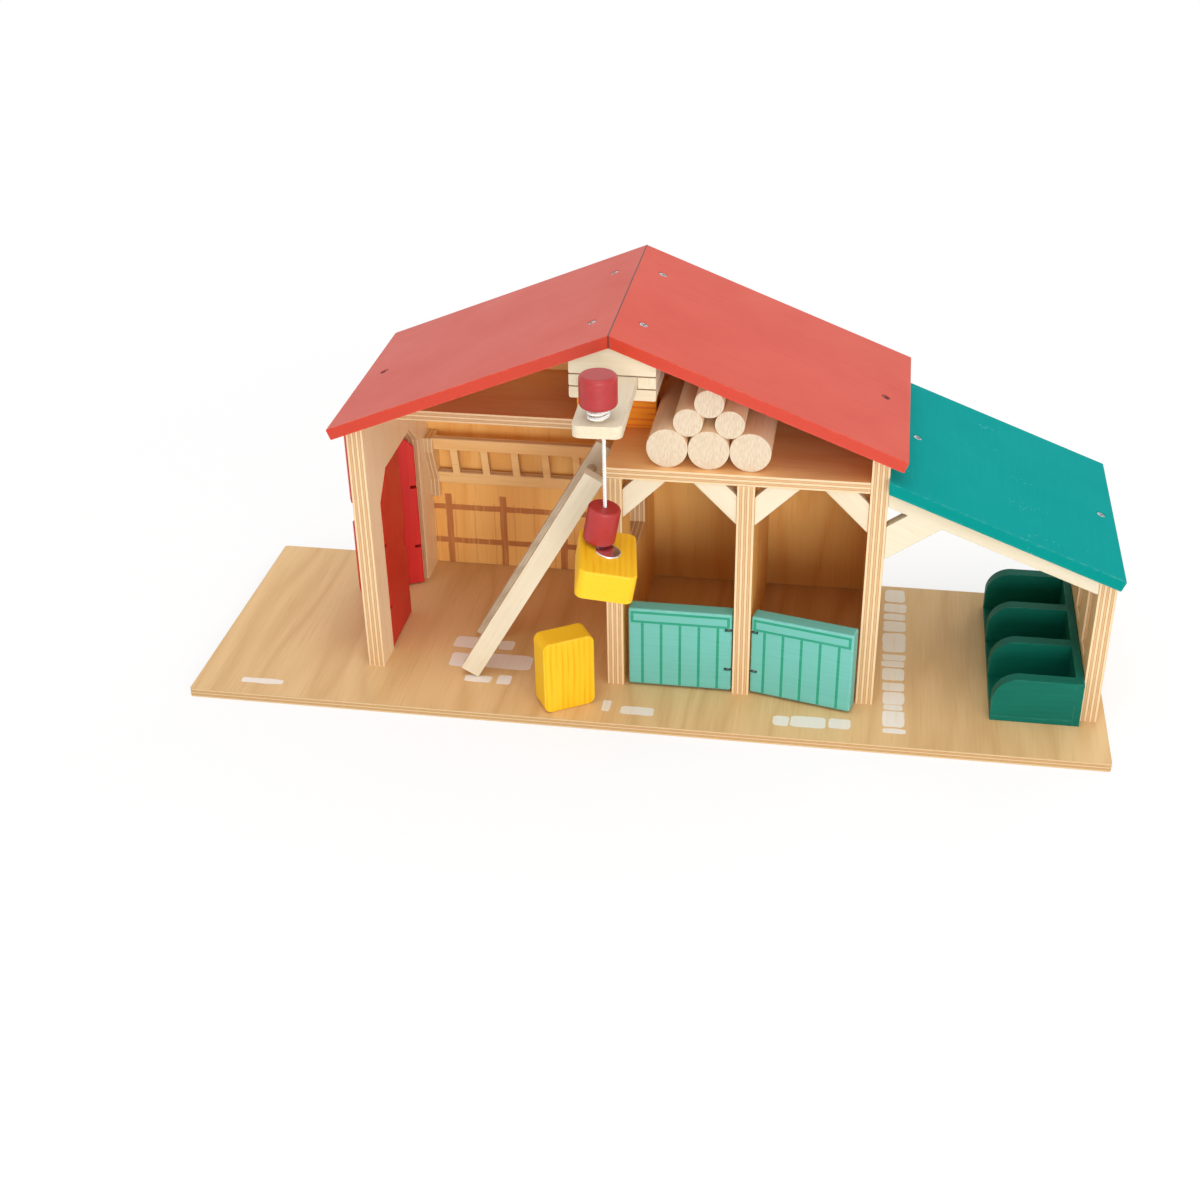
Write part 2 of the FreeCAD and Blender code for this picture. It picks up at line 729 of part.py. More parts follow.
def cord_winding():
    stations = winding_points()
    start = stations[0][0] - stations[0][1] * CORD_D
    edges = [Part.makeLine(start, stations[0][0])]
    for (place, way), (next_place, next_way) in zip(stations, stations[1:]):
        edges += biarc(place, way, next_place, next_way)
    last, last_way = stations[-1]
    edges.append(Part.makeLine(last, last + last_way * CORD_D))
    winding, path = tube(edges, start, stations[0][1])
    turn_length = math.pi * (SPINDLE_D + CORD_D)
    gap = least_self_gap(path, turn_length)
    print("winding: length %.1f mm, least gap to itself %.2f mm" % (path.Length, gap))
    return winding


def cord_lead():
    # From the winding's lower end level to the hole in the beam, then down through it.
    touch, way = winding_points()[0]
    start = touch - way * CORD_D
    hole = Vec(crane_x, cord_hole_y, start.z)
    level_end = hole + way * CORD_BEND_R
    down_start = hole - UP * CORD_BEND_R
    edges = [Part.makeLine(start, level_end), arc_between(level_end, hole, down_start),
             Part.makeLine(down_start, Vec(hole.x, hole.y, beam_z))]
    lead, path = tube(edges, start, way)
    print("lead: length %.1f mm, bend radius %.1f mm, volume share of section times length %.4f"
          % (path.Length, CORD_BEND_R, lead.Volume / (math.pi * CORD_D ** 2 / 4 * path.Length)))
    return lead


def cord_drop():
    length = DROP_L + HOOK_HOLE_DEPTH
    print("drop: length %.1f mm" % length)
    return rod(hook_at + UP * DROP_L, -UP, CORD_D, length)


# Hook and bales

hook_at = on_beam(Part.Vertex(crane_x, cord_hole_y, beam_z - DROP_L)).Point


def hook_body():
    hook = rod(hook_at - UP * HOOK_H, UP, HOOK_D, HOOK_H)
    hook = hook.makeFillet(HOOK_EDGE_R, [edge for edge in hook.Edges if edge.Closed])
    seat = rod(hook_at - UP * HOOK_H, UP, MAGNET_D, MAGNET_T - MAGNET_PROUD)
    hook = turned(hook.cut(seat), hook_at, BACK, HOOK_TILT_DEG)
    top = hook_at + UP * HOOK_HOLE_DEPTH
    return hook.cut(rod(top, -UP, HOOK_HOLE_D, 2 * HOOK_HOLE_DEPTH))


def hook_magnet():
    magnet = rod(hook_at - UP * (HOOK_H + MAGNET_PROUD), UP, MAGNET_D, MAGNET_T)
    return turned(magnet, hook_at, BACK, HOOK_TILT_DEG)


def bale_block():
    # Lies on its large face with its middle at the origin of its own frame.
    block = box(-BALE_W / 2, -BALE_L / 2, -BALE_T / 2, BALE_W, BALE_L, BALE_T)
    block = soften(block, BALE_CORNER_R, UP)
    return block.makeFillet(BALE_EDGE_R, edges_at(block, BALE_T / 2) + edges_at(block, -BALE_T / 2))


def bale_plate():
    # A metal disc on the middle of the bale's upper face, in the bale's own frame.
    disc = rod(UP * (BALE_T / 2), UP, PLATE_D, PLATE_T)
    return disc.makeFillet(PLATE_EDGE_R, edges_at(disc, BALE_T / 2 + PLATE_T))


def hanging_place():
    # The tilted magnet holds the plate near its rim, so the bale's top lies parallel to the magnet's face.
    tilt = FreeCAD.Rotation(BACK, HOOK_TILT_DEG)
    turn = tilt.multiply(FreeCAD.Rotation(UP, HANG_TURN_DEG))
    drop = HOOK_H + MAGNET_PROUD + PLATE_GAP + PLATE_T + BALE_T / 2
    middle = hook_at - tilt.multVec(UP) * drop + turn.multVec(Vec(HANG_OFF_X, HANG_OFF_Y, 0))
    return FreeCAD.Placement(middle, turn)


def placed(shape, placement):
    copy = shape.copy()
    copy.transformShape(placement.toMatrix())
    return copy


def floor_bale_place():
    turn = FreeCAD.Rotation(UP, FLOOR_BALE_TURN_DEG).multiply(FreeCAD.Rotation(RIGHT, 90))
    return FreeCAD.Placement(Vec(stall_wall_x - FLOOR_BALE_FROM_WALL, FLOOR_BALE_Y, BALE_L / 2), turn)


def loft_bale_place():
    on_edge = FreeCAD.Rotation(BACK, 90).multiply(FreeCAD.Rotation(RIGHT, 90))
    pile_left = log_pile_x - log_spacing * (LOG_ROW - 1) / 2 - LOG_LARGE_R
    x = pile_left - LOFT_BALE_LOG_GAP - BALE_L / 2
    y = WALL_FRONT_Y + LOFT_NOTCH_D - LOFT_BALE_OVERHANG + BALE_T / 2
    return FreeCAD.Placement(Vec(x, y, loft_top + BALE_W / 2), on_edge)


# Logs and ladder


def log(x, z, radius):
    return rod(Vec(x, WALL_FRONT_Y + LOG_SETBACK, z), BACK, 2 * radius, LOG_L)


def log_pile():
    low = loft_top + LOG_GAP + LOG_LARGE_R
    half = log_spacing / 2
    second = low + math.sqrt((LOG_LARGE_R + LOG_SMALL_R + LOG_GAP) ** 2 - half ** 2)
    third = second + math.sqrt((2 * LOG_SMALL_R + LOG_GAP) ** 2 - half ** 2)
    pile = {}
    for row, (count, z, radius, size) in enumerate(((LOG_ROW, low, LOG_LARGE_R, "large"),
                                                    (LOG_ROW - 1, second, LOG_SMALL_R, "small"),
                                                    (LOG_ROW - 2, third, LOG_SMALL_R, "top"))):
        for index in range(count):
            x = log_pile_x + (index - (count - 1) / 2) * log_spacing
            pile["log_%s_%d" % (size, index + 1)] = log(x, z, radius)
    return pile


ladder_angle = math.radians(LADDER_LEAN_DEG)
ladder_way = Vec(math.cos(ladder_angle), 0, math.sin(ladder_angle))
ladder_side = Vec(-math.sin(ladder_angle), 0, math.cos(ladder_angle))
ladder_l = (loft_top - LADDER_BELOW_LOFT) / math.sin(ladder_angle)
ladder_foot_x = stall_wall_x - LADDER_WALL_GAP - ladder_l * math.cos(ladder_angle)
ladder_foot = Vec(ladder_foot_x, LADDER_FRONT_Y, LADDER_FLOOR_GAP)


def rung_starts():
    first = ladder_foot + ladder_side * (RAIL_W / 2) + BACK * (RAIL_T - RUNG_IN_RAIL)
    spacing = (ladder_l - RUNG_FIRST - RUNG_LAST) / (RUNGS - 1)
    return [first + ladder_way * (RUNG_FIRST + index * spacing) for index in range(RUNGS)]


def rung(start, diameter):
    return rod(start, BACK, diameter, LADDER_W - 2 * (RAIL_T - RUNG_IN_RAIL))


def ladder_rail(front_y):
    foot = Vec(ladder_foot.x, front_y, ladder_foot.z)
    top = foot + ladder_way * ladder_l
    rail = prism([foot, top, top + ladder_side * RAIL_W, foot + ladder_side * RAIL_W], BACK * RAIL_T)
    for start in rung_starts():
        rail = rail.cut(rung(start, RUNG_D + 2 * RUNG_CLEAR))
    return rail


def ladder_rungs():
    return [rung(start, RUNG_D) for start in rung_starts()]


# Screws


def screw_places():
    # Head centres on the roof's upper faces, with the directions into the wood.
    places = []
    wall_middle = house_w / 2 - WALL_T / 2
    spots = ((SCREW_FROM_RIDGE, SCREW_FRONT_Y), (SCREW_FROM_RIDGE, back_y - SCREW_FROM_BACK),
             (wall_middle, wall_mid_y))
    for side in (-1, 1):
        inward = Vec(-side * math.sin(pitch), 0, -math.cos(pitch))
        for run, y in spots:
            top = ridge_z + (PANEL_T / math.cos(pitch)) - run * math.tan(pitch)
            places.append((Vec(ridge_x + side * run, y, top), inward))
    inward = Vec(-math.sin(lean_pitch), 0, -math.cos(lean_pitch))
    for x in (house_right + SCREW_FROM_RIGHT_WALL, lean_wall_x + WALL_T / 2):
        places.append((Vec(x, wall_mid_y, lean_under(x) + PANEL_T / math.cos(lean_pitch)), inward))
    return places


def screw(place, inward):
    head_at = place + inward * SCREW_SUNK
    head = Part.makeCone(SCREW_HEAD_D / 2, SCREW_SHANK_D / 2, SCREW_HEAD_H, head_at, inward)
    return head.fuse(rod(head_at, inward, SCREW_SHANK_D, SCREW_L)).removeSplitter()


def screw_bore(place, inward):
    head_at = place + inward * SCREW_SUNK
    head = Part.makeCone(SCREW_HEAD_D / 2, SCREW_SHANK_D / 2, SCREW_HEAD_H, head_at, inward)
    mouth = rod(place - inward * OVER, inward, SCREW_HEAD_D, SCREW_SUNK + OVER)
    return mouth.fuse([head, rod(place, inward, SCREW_SHANK_D, SCREW_SUNK + SCREW_L)])


def bored(shape, bores):
    for bore in bores:
        if shape.distToShape(bore)[0] < OVER:
            shape = shape.cut(bore)
    return shape


def main():
    os.makedirs("parts", exist_ok=True)
    bores = [screw_bore(place, inward) for place, inward in screw_places()]
    save("base_plate", base_plate())
    save("left_wall", bored(left_wall(), bores))
    save("stall_wall", stall_wall())
    save("middle_wall", middle_wall())
    save("right_wall", bored(right_wall(), bores))
    save("back_wall", back_wall())
    save("loft_floor", loft_floor())
    right = roof_right()
    save("roof_right", bored(right, bores))
    save("roof_left", bored(mirrored(right), bores))
    save("lean_to_roof", bored(lean_to_roof(), bores))
    save("lean_to_wall", bored(lean_to_wall(), bores))
    save("lean_to_truss", lean_to_truss())
    save("lean_to_cleat", bored(lean_to_cleat(), bores))
    corners = ((left_stall_x, 1), (middle_wall_x, -1), (right_stall_x, 1), (right_wall_x, -1))
    for index, (corner_x, side) in enumerate(corners):
        save("stall_brace_%d" % (index + 1), stall_brace(corner_x, side))
    save("roof_screws", *[screw(place, inward) for place, inward in screw_places()])

    leaf = near_leaf()
    save("near_leaf", leaf)
    save("far_leaf", far_leaf(leaf))
    save("left_stable_door", left_stable_door())
    save("right_stable_door", right_stable_door())
    hinges = leaf_hinges() + stable_hinges()
    save("hinge_eyes", *[hinge_eye(place, toward, gap) for place, toward, gap in hinges])
    pin_names = ("near_leaf_pins", "far_leaf_pins", "left_stable_pins", "right_stable_pins")
    for index, name in enumerate(pin_names):
        save(name, *[hinge_pin(place) for place, toward, gap in hinges[2 * index:2 * index + 2]])

    for index in range(NEST_DIVIDERS):
        save("nest_divider_%d" % (index + 1), nest_divider(index))
    save("nest_floor", nest_floor())
    save("nest_back", nest_back())
    save("hay_rack_sides", rack_side(room_left), rack_side(stall_wall_x - RACK_SIDE_T))
    save("hay_rack_grille", rack_grille())

    save("crane_gable_block", bored(gable_block(crane_x, CRANE_FRONT_Y, SLEEVE_D), bores))
    save("rear_ridge_block", bored(gable_block(ridge_x, back_y - RIDGE_BLOCK_D, RIDGE_BLOCK_D), bores))
    side_block = sleeve_side()
    save("crane_side_blocks", side_block, side_block.mirror(sleeve_middle, RIGHT))
    save("crane_bottom_plate", sleeve_bottom())
    save("crane_beam", on_beam(crane_beam()))
    save("winch_spindle", on_beam(winch_spindle()))
    save("winch_knob", on_beam(winch_knob()))
    save("cord_winding", on_beam(cord_winding()))
    save("cord_lead", on_beam(cord_lead()))
    save("cord_drop", cord_drop())
    save("hook_body", hook_body())
    save("hook_magnet", hook_magnet())
    hanging = hanging_place()
    save("hanging_bale", placed(bale_block(), hanging))
    save("bale_plate", placed(bale_plate(), hanging))
    save("floor_bale", placed(bale_block(), floor_bale_place()))
    save("loft_bale", placed(bale_block(), loft_bale_place()))

    for name, shape in log_pile().items():
        save(name, shape)
    save("ladder_near_rail", ladder_rail(LADDER_FRONT_Y))
    save("ladder_far_rail", ladder_rail(LADDER_FRONT_Y + LADDER_W - RAIL_T))
    save("ladder_rungs", *ladder_rungs())


main()
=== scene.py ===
import bmesh
import bpy
import math
import numpy as np
from mathutils import Matrix, Vector


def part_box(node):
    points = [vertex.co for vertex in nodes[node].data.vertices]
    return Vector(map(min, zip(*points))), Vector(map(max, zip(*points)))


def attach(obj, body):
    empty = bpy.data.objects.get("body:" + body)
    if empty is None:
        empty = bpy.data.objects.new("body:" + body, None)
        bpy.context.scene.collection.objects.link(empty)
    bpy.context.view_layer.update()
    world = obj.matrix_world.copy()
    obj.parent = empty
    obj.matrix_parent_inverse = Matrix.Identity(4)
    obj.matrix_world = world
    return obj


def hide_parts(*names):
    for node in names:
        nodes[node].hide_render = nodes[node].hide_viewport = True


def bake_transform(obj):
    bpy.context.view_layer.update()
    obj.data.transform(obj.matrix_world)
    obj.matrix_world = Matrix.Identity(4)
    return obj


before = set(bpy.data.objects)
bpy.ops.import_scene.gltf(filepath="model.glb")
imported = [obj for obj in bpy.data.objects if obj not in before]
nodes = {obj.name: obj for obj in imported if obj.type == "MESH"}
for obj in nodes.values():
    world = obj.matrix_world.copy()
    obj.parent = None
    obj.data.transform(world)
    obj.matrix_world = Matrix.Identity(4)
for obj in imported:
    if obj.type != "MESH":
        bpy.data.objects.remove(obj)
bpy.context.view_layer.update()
print("frame loaded:", len(nodes), "nodes")


def mm(value):
    return value / 1000


def rgb(red, green, blue):
    # screen colour 0 to 255 to the linear colour that shaders take
    def linear(part):
        part /= 255
        return part / 12.92 if part < 0.04045 else ((part + 0.055) / 1.055) ** 2.4
    return (linear(red), linear(green), linear(blue), 1)


# Shader maths as expressions

def mathsMethod(operation, reflected=False):
    def method(self, *others):
        values = (*others, self) if reflected else (self, *others)
        return self.surface.node("ShaderNodeMath", {"operation": operation}, dict(enumerate(values)))
    return method


class Wire:
    def __init__(self, surface, socket):
        self.surface = surface
        self.socket = socket

    __add__ = mathsMethod("ADD")
    __radd__ = mathsMethod("ADD", True)
    __sub__ = mathsMethod("SUBTRACT")
    __rsub__ = mathsMethod("SUBTRACT", True)
    __mul__ = mathsMethod("MULTIPLY")
    __rmul__ = mathsMethod("MULTIPLY", True)
    __truediv__ = mathsMethod("DIVIDE")
    __pow__ = mathsMethod("POWER")
    __lt__ = mathsMethod("LESS_THAN")
    __gt__ = mathsMethod("GREATER_THAN")
    __abs__ = mathsMethod("ABSOLUTE")
    least = mathsMethod("MINIMUM")
    most = mathsMethod("MAXIMUM")
    fraction = mathsMethod("FRACT")
    sine = mathsMethod("SINE")

    def ramp(self, low, high):
        # 0 below low, 1 above high, smooth between
        return self.surface.node("ShaderNodeMapRange", {"interpolation_type": "SMOOTHSTEP"},
                                 {"Value": self, "From Min": low, "From Max": high})


class Surface:
    # the nodes of a material or of the world
    def __init__(self, owner, shader):
        owner.use_nodes = True
        self.owner = owner
        self.tree = owner.node_tree
        self.shader = self.tree.nodes[shader]

    def feed(self, socket, value):
        if isinstance(value, Wire):
            self.tree.links.new(value.socket, socket)
        else:
            socket.default_value = value

    def node(self, kind, settings, inputs, out=0):
        made = self.tree.nodes.new(kind)
        for key, value in settings.items():
            setattr(made, key, value)
        for key, value in inputs.items():
            self.feed(made.inputs[key], value)
        return Wire(self, made.outputs[out])

    def objectPlace(self):
        return self.node("ShaderNodeTexCoord", {}, {}, "Object")

    def facing(self, axis):
        # 1 where the surface looks along the axis, -1 where it looks the other way
        normal = self.node("ShaderNodeTexCoord", {}, {}, "Normal")
        return self.node("ShaderNodeVectorMath", {"operation": "DOT_PRODUCT"},
                         {0: normal, 1: tuple(axis)}, "Value")

    def local(self, board):
        return self.node("ShaderNodeMapping", {"vector_type": "TEXTURE"},
                         {"Vector": self.objectPlace(), "Location": tuple(board["middle"]),
                          "Rotation": tuple(board["axes"].to_euler())})

    def parts(self, vector):
        split = self.node("ShaderNodeSeparateXYZ", {}, {0: vector})
        return [Wire(self, socket) for socket in split.socket.node.outputs]

    def stretched(self, vector, scale):
        return self.node("ShaderNodeVectorMath", {"operation": "MULTIPLY"}, {0: vector, 1: scale})

    def shifted(self, vector, offset):
        return self.node("ShaderNodeVectorMath", {"operation": "ADD"}, {0: vector, 1: offset})

    def noise(self, vector, scale, detail=2, roughness=0.5):
        return self.node("ShaderNodeTexNoise", {}, {"Vector": vector, "Scale": scale, "Detail": detail,
                                                    "Roughness": roughness})

    def streaks(self, vector, scale, detail=2, roughness=0.5):
        # noise with a scale of its own on each axis
        return self.noise(self.stretched(vector, scale), 1, detail, roughness)

    def mix(self, factor, first, second):
        return self.node("ShaderNodeMix", {"data_type": "RGBA"}, {0: factor, 6: first, 7: second}, 2)

    def bump(self, height, strength, distance):
        return self.node("ShaderNodeBump", {},
                         {"Height": height, "Strength": strength, "Distance": distance})

    def finish(self, **sockets):
        names = {"color": "Base Color", "rough": "Roughness", "normal": "Normal", "metal": "Metallic",
                 "specular": "Specular IOR Level"}
        for key, value in sockets.items():
            self.feed(self.shader.inputs[names[key]], value)
        return self.owner

    def seen(self):
        # 1 on rays from the camera, mirrors and glass
        camera, glossy, clear = [self.node("ShaderNodeLightPath", {}, {}, "Is %s Ray" % kind)
                                 for kind in ("Camera", "Glossy", "Transmission")]
        return camera.most(glossy).most(clear)

    def blend(self, factor, shader):
        own = Wire(self, self.shader.outputs[0])
        mixed = self.node("ShaderNodeMixShader", {}, {0: factor, 1: own, 2: shader})
        self.tree.links.new(mixed.socket, self.tree.nodes["Material Output"].inputs["Surface"])


def newSurface(name):
    return Surface(bpy.data.materials.new(name), "Principled BSDF")


# Places on the boards

fitSettings = {"parallel": 0.999, "square": 0.05, "tiny": 1e-15}


def framed(name, axes):
    spread = np.array([v.co for v in nodes[name].data.vertices]) @ np.array(axes)
    low, high = spread.min(0), spread.max(0)
    return {"axes": axes, "middle": axes @ Vector((low + high) / 2), "size": Vector(high - low)}


def boardFrame(name):
    # middle, axes and size of a box-like node: x its length, y its width, z its thickness
    mesh = nodes[name].data
    mesh.calc_loop_triangles()
    points = np.array([v.co for v in mesh.vertices])
    corners = points[np.array([t.vertices for t in mesh.loop_triangles])]
    cross = np.cross(corners[:, 1] - corners[:, 0], corners[:, 2] - corners[:, 0])
    areas = np.linalg.norm(cross, axis=1) / 2
    normals = cross / np.maximum(2 * areas, fitSettings["tiny"])[:, None]
    share = [(areas * (np.abs(normals @ n) > fitSettings["parallel"])).sum() for n in normals]
    thick = Vector(normals[int(np.argmax(share))])
    side = [s if abs(Vector(n).dot(thick)) < fitSettings["square"] else 0 for s, n in zip(share, normals)]
    across = Vector(normals[int(np.argmax(side))])
    across = (across - thick * across.dot(thick)).normalized()
    along = across.cross(thick)
    if np.ptp(points @ np.array(along)) < np.ptp(points @ np.array(across)):
        along, across = across, -along
    return framed(name, Matrix((along, across, thick)).transposed())


def plainFrame(middle, size=(0.1, 0.1, 0.1)):
    # an unturned frame for round pieces and for nodes that hold several solids
    return {"axes": Matrix.Identity(3), "middle": Vector(middle), "size": Vector(size)}


def boxFrame(node):
    low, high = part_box(node)
    return plainFrame((low + high) / 2, high - low)


def wear(node, material):
    for slot in nodes[node].material_slots:
        slot.material = material


def union(masks):
    whole = masks[0]
    for mask in masks[1:]:
        whole = whole.most(mask)
    return whole


def band(value, low, high, soft=mm(0.25)):
    return value.ramp(low - soft, low + soft) * (1 - value.ramp(high - soft, high + soft))


maskSettings = {"faceLimit": 0.8, "sideLimit": 0.5, "edgeCore": 0.2}


def squareTo(surface, board, axis):
    # 1 where the surface looks along the board's axis, either way
    return abs(surface.facing(board["axes"].col[axis])) > maskSettings["faceLimit"]


def towards(surface, way):
    return surface.facing(way) > maskSettings["sideLimit"]


def nearEdge(surface, local, size, wide):
    # 1 on the arrises of a box, fading over the given width: the second smallest distance to its sides
    a, b, c = [half - abs(part) for half, part in zip(size / 2, surface.parts(local))]
    second = a.least(b).most(a.most(b).least(c))
    return 1 - second.ramp(wide * maskSettings["edgeCore"], wide)


# Figure of the wood: scales across and along the grain

figureSettings = {"broad": (17, 2.2), "fibre": (620, 24), "offset": (1, 0.7, 1.3)}
broadNoise = (2, 0.45)  # detail and roughness
fineNoise = (3, 0.6)
coarseNoise = (3, 0.7)


def grainScale(along, across, run):
    return tuple(run if axis == along else across for axis in range(3))


def woodFigure(surface, local, along, rings, seed):
    # contour lines of a long drawn-out noise give the arched figure of peeled or sawn wood
    drawn = surface.stretched(local, grainScale(along, *figureSettings["broad"]))
    moved = surface.shifted(drawn, [seed * share for share in figureSettings["offset"]])
    broad = surface.noise(moved, 1, *broadNoise)
    lines = (broad * rings).sine() * 0.5 + 0.5
    fibre = surface.streaks(local, grainScale(along, *figureSettings["fibre"]), *fineNoise)
    return lines, fibre, broad


def figureTone(figure, shares):
    # one value from 0 to 1 out of ring lines, fibres and broad clouds, less a level
    lines, fibre, broad = figure
    ofLines, ofFibre, ofBroad, level = shares
    return (lines * ofLines + fibre * ofFibre + broad * ofBroad - level).ramp(0, 1)


# Plywood boards; the outsides of the house have the same tone as the lean-to's wall, while inside faces
# take lit and shaded copies of that plywood tone as painted light and painted shade

plySettings = {"rings": 46, "shares": (0.22, 0.45, 0.75, 0.33), "ringSharp": 10, "ringDark": 0.3,
               "fleck": (0.56, 0.8), "fleckDark": 0.35, "glue": rgb(148, 93, 51), "glueFade": (0.042, 0.12),
               "glueFibre": 0.9, "glueLeast": 0.35, "endScale": (210, 210, 1700), "endCrossed": 0.7,
               "endFibre": 0.5, "endLevel": 0.2, "wear": 0.25, "wearWide": mm(0.9),
               "sheenScale": 30, "sheenSwing": 0.14, "rough": 0.33, "bump": (0.14, mm(0.25))}
edgeTones = {"light": rgb(226, 197, 155), "dark": rgb(199, 155, 105)}
# painted shade: the base's edges take a darker copy of the ply edge tone, shading its lit front edge
baseShadedEdges = {"light": rgb(205, 175, 130), "dark": rgb(180, 139, 90)}
wallTones = {"light": rgb(242, 207, 154), "dark": rgb(226, 180, 120)}
loftTones = {"light": rgb(250, 204, 140), "dark": rgb(236, 167, 103)}
# painted shade: a deeper, more saturated copy of the plywood tone for the faces inside the rooms
roomShadedTones = {"light": rgb(249, 199, 118), "dark": rgb(235, 169, 86)}
baseTones = {"light": rgb(227, 191, 138), "dark": rgb(203, 160, 106)}
# painted light: lighter copies of the plywood tone for the inside of the left wall and for the hay rack
entryLitTones = {"light": rgb(253, 233, 200), "dark": rgb(244, 214, 172)}
rackLitTones = {"light": rgb(248, 212, 150), "dark": rgb(236, 184, 116)}


def plywood(node, plies, along, seed, light, dark, board=None, depth=None, ends=edgeTones, outer=None):
    board = board or boardFrame(node)
    surface = newSurface(node + "Ply")
    local = surface.local(board)
    lines, fibre, broad = woodFigure(surface, local, along, plySettings["rings"], seed)
    tone = figureTone((lines, fibre, broad), plySettings["shares"])
    face = surface.mix(tone, light, dark)
    # faces turned out of the house take the plain wall tone, the others the board's own copy, which is
    # painted light or shade on some boards
    if outer:
        outside = surface.mix(tone, wallTones["light"], wallTones["dark"])
        face = surface.mix(towards(surface, outer), face, outside)
    face = surface.mix(lines ** plySettings["ringSharp"] * plySettings["ringDark"], face, dark)
    fleck = fibre.ramp(*plySettings["fleck"]) * plySettings["fleckDark"]
    face = surface.mix(fleck, face, edgeTones["dark"])
    level = depth(surface) if depth else surface.parts(local)[2]
    layers = (level / board["size"].z + 0.5) * plies
    layer = layers.fraction()
    glue = 1 - layer.least(1 - layer).ramp(*plySettings["glueFade"])
    crossed = (layers * 0.5).fraction() > 0.5  # every other ply shows its end grain
    endFibre = surface.streaks(local, plySettings["endScale"], *fineNoise)
    endTone = crossed * plySettings["endCrossed"] + endFibre * plySettings["endFibre"]
    cut = surface.mix((endTone - plySettings["endLevel"]).ramp(0, 1), ends["light"], ends["dark"])
    inGlue = glue * (endFibre * plySettings["glueFibre"] + plySettings["glueLeast"])
    cut = surface.mix(inGlue, cut, plySettings["glue"])
    edge = 1 - squareTo(surface, board, 2)
    color = surface.mix(edge, face, cut)
    rubbed = nearEdge(surface, local, board["size"], plySettings["wearWide"]) * plySettings["wear"]
    color = surface.mix(rubbed, color, ends["light"])
    height = fibre * (1 - edge) + (endFibre - glue) * edge
    return surface, color, height


def plyBoard(node, plies, along, seed, specular=0.45, **more):
    surface, color, height = plywood(node, plies, along, seed, **more)
    sheen = surface.noise(surface.objectPlace(), plySettings["sheenScale"])
    rough = sheen * plySettings["sheenSwing"] + plySettings["rough"]
    normal = surface.bump(height, *plySettings["bump"])
    wear(node, surface.finish(color=color, rough=rough, specular=specular, normal=normal))


# number of plies, axis of the face grain and seed of each board
walls = {"left_wall": (7, 0, 3.1), "stall_wall": (7, 0, 5.3), "middle_wall": (7, 0, 7.7),
         "right_wall": (7, 0, 1.9), "lean_to_wall": (7, 1, 9.4), "loft_floor": (5, 0, 4.4),
         "hay_rack_grille": (3, 0, 6.1)}
# the inside of the left wall and the hay rack take a lit copy of the tone as painted light, the other
# rooms' walls a shaded copy as painted shade
boardTones = {"left_wall": entryLitTones, "lean_to_wall": wallTones, "loft_floor": loftTones,
              "hay_rack_grille": rackLitTones}
outerSides = {"left_wall": (-1, 0, 0), "right_wall": (1, 0, 0)}
for node, build in walls.items():
    plyBoard(node, *build, outer=outerSides.get(node), **boardTones.get(node, roomShadedTones))
plyBoard("base_plate", 5, 1, 12.2, specular=0.25, ends=baseShadedEdges, **baseTones)

rackSettings = {"middle": (-0.1, 0.084, 0.09), "halfGap": 0.0735, "size": (0.0165, 0.052, 0.007),
                "build": (5, 1, 2.6)}


def rackDepth(surface):
    # two boards, each with its own plies, the same way out from the middle of the rack
    x = surface.parts(surface.objectPlace())[0]
    return abs(x - rackSettings["middle"][0]) - rackSettings["halfGap"]


rackBoard = {"axes": Matrix(((0, 0, 1), (1, 0, 0), (0, 1, 0))), "middle": Vector(rackSettings["middle"]),
             "size": Vector(rackSettings["size"])}
plyBoard("hay_rack_sides", *rackSettings["build"], board=rackBoard, depth=rackDepth, **rackLitTones)

# printed rails and planks on the room's back wall, in millimetres from the room's floor and its left wall
railSettings = {"roomLeft": -177, "roomRight": -23, "floor": 6, "rails": ((17, 21.5), (45, 49.5)),
                "post": 5, "posts": (9, 50, 95, 140), "plank": 15, "seam": (0.4, 1.1), "top": 58,
                "seamTop": 52, "ink": rgb(178, 104, 60), "faint": rgb(196, 128, 76), "wobble": 1.4,
                "wobbleScale": 70, "wornScale": (600, 600, 16), "worn": (0.25, 0.5), "seamInk": 0.5,
                "wornInk": 0.35, "leastInk": 0.5, "build": (5, 1, 2.2), "rough": 0.48, "specular": 0.3}


def railPrint():
    surface, color, height = plywood("back_wall", *railSettings["build"], outer=(0, 1, 0), **roomShadedTones)
    place = surface.objectPlace()
    x, y, z = surface.parts(place)
    shake = surface.noise(place, railSettings["wobbleScale"], *fineNoise) - 0.5
    shake = shake * mm(railSettings["wobble"])
    across = x - mm(railSettings["roomLeft"]) + shake
    up = z - mm(railSettings["floor"]) + shake
    rails = [band(up, mm(low), mm(high)) for low, high in railSettings["rails"]]
    posts = [band(across, mm(left), mm(left + railSettings["post"])) * (up < mm(railSettings["top"]))
             for left in railSettings["posts"]]
    fromSeam = (across / mm(railSettings["plank"])).fraction() * mm(railSettings["plank"])
    seams = band(fromSeam, *[mm(part) for part in railSettings["seam"]])
    seams = seams * (up < mm(railSettings["seamTop"]))
    worn = surface.streaks(place, railSettings["wornScale"]).ramp(*railSettings["worn"])
    inRoom = band(x, mm(railSettings["roomLeft"]), mm(railSettings["roomRight"]))
    inRoom = inRoom * towards(surface, (0, -1, 0))
    color = surface.mix(seams * inRoom * (worn * railSettings["seamInk"]), color, railSettings["faint"])
    strength = worn * railSettings["wornInk"] + railSettings["leastInk"]
    color = surface.mix(union(rails + posts) * inRoom * strength, color, railSettings["ink"])
    return surface.finish(color=color, rough=railSettings["rough"], specular=railSettings["specular"],
                          normal=surface.bump(height, *plySettings["bump"]))


wear("back_wall", railPrint())
print("plywood:", len([*walls, "base_plate", "hay_rack_sides", "back_wall"]), "boards")
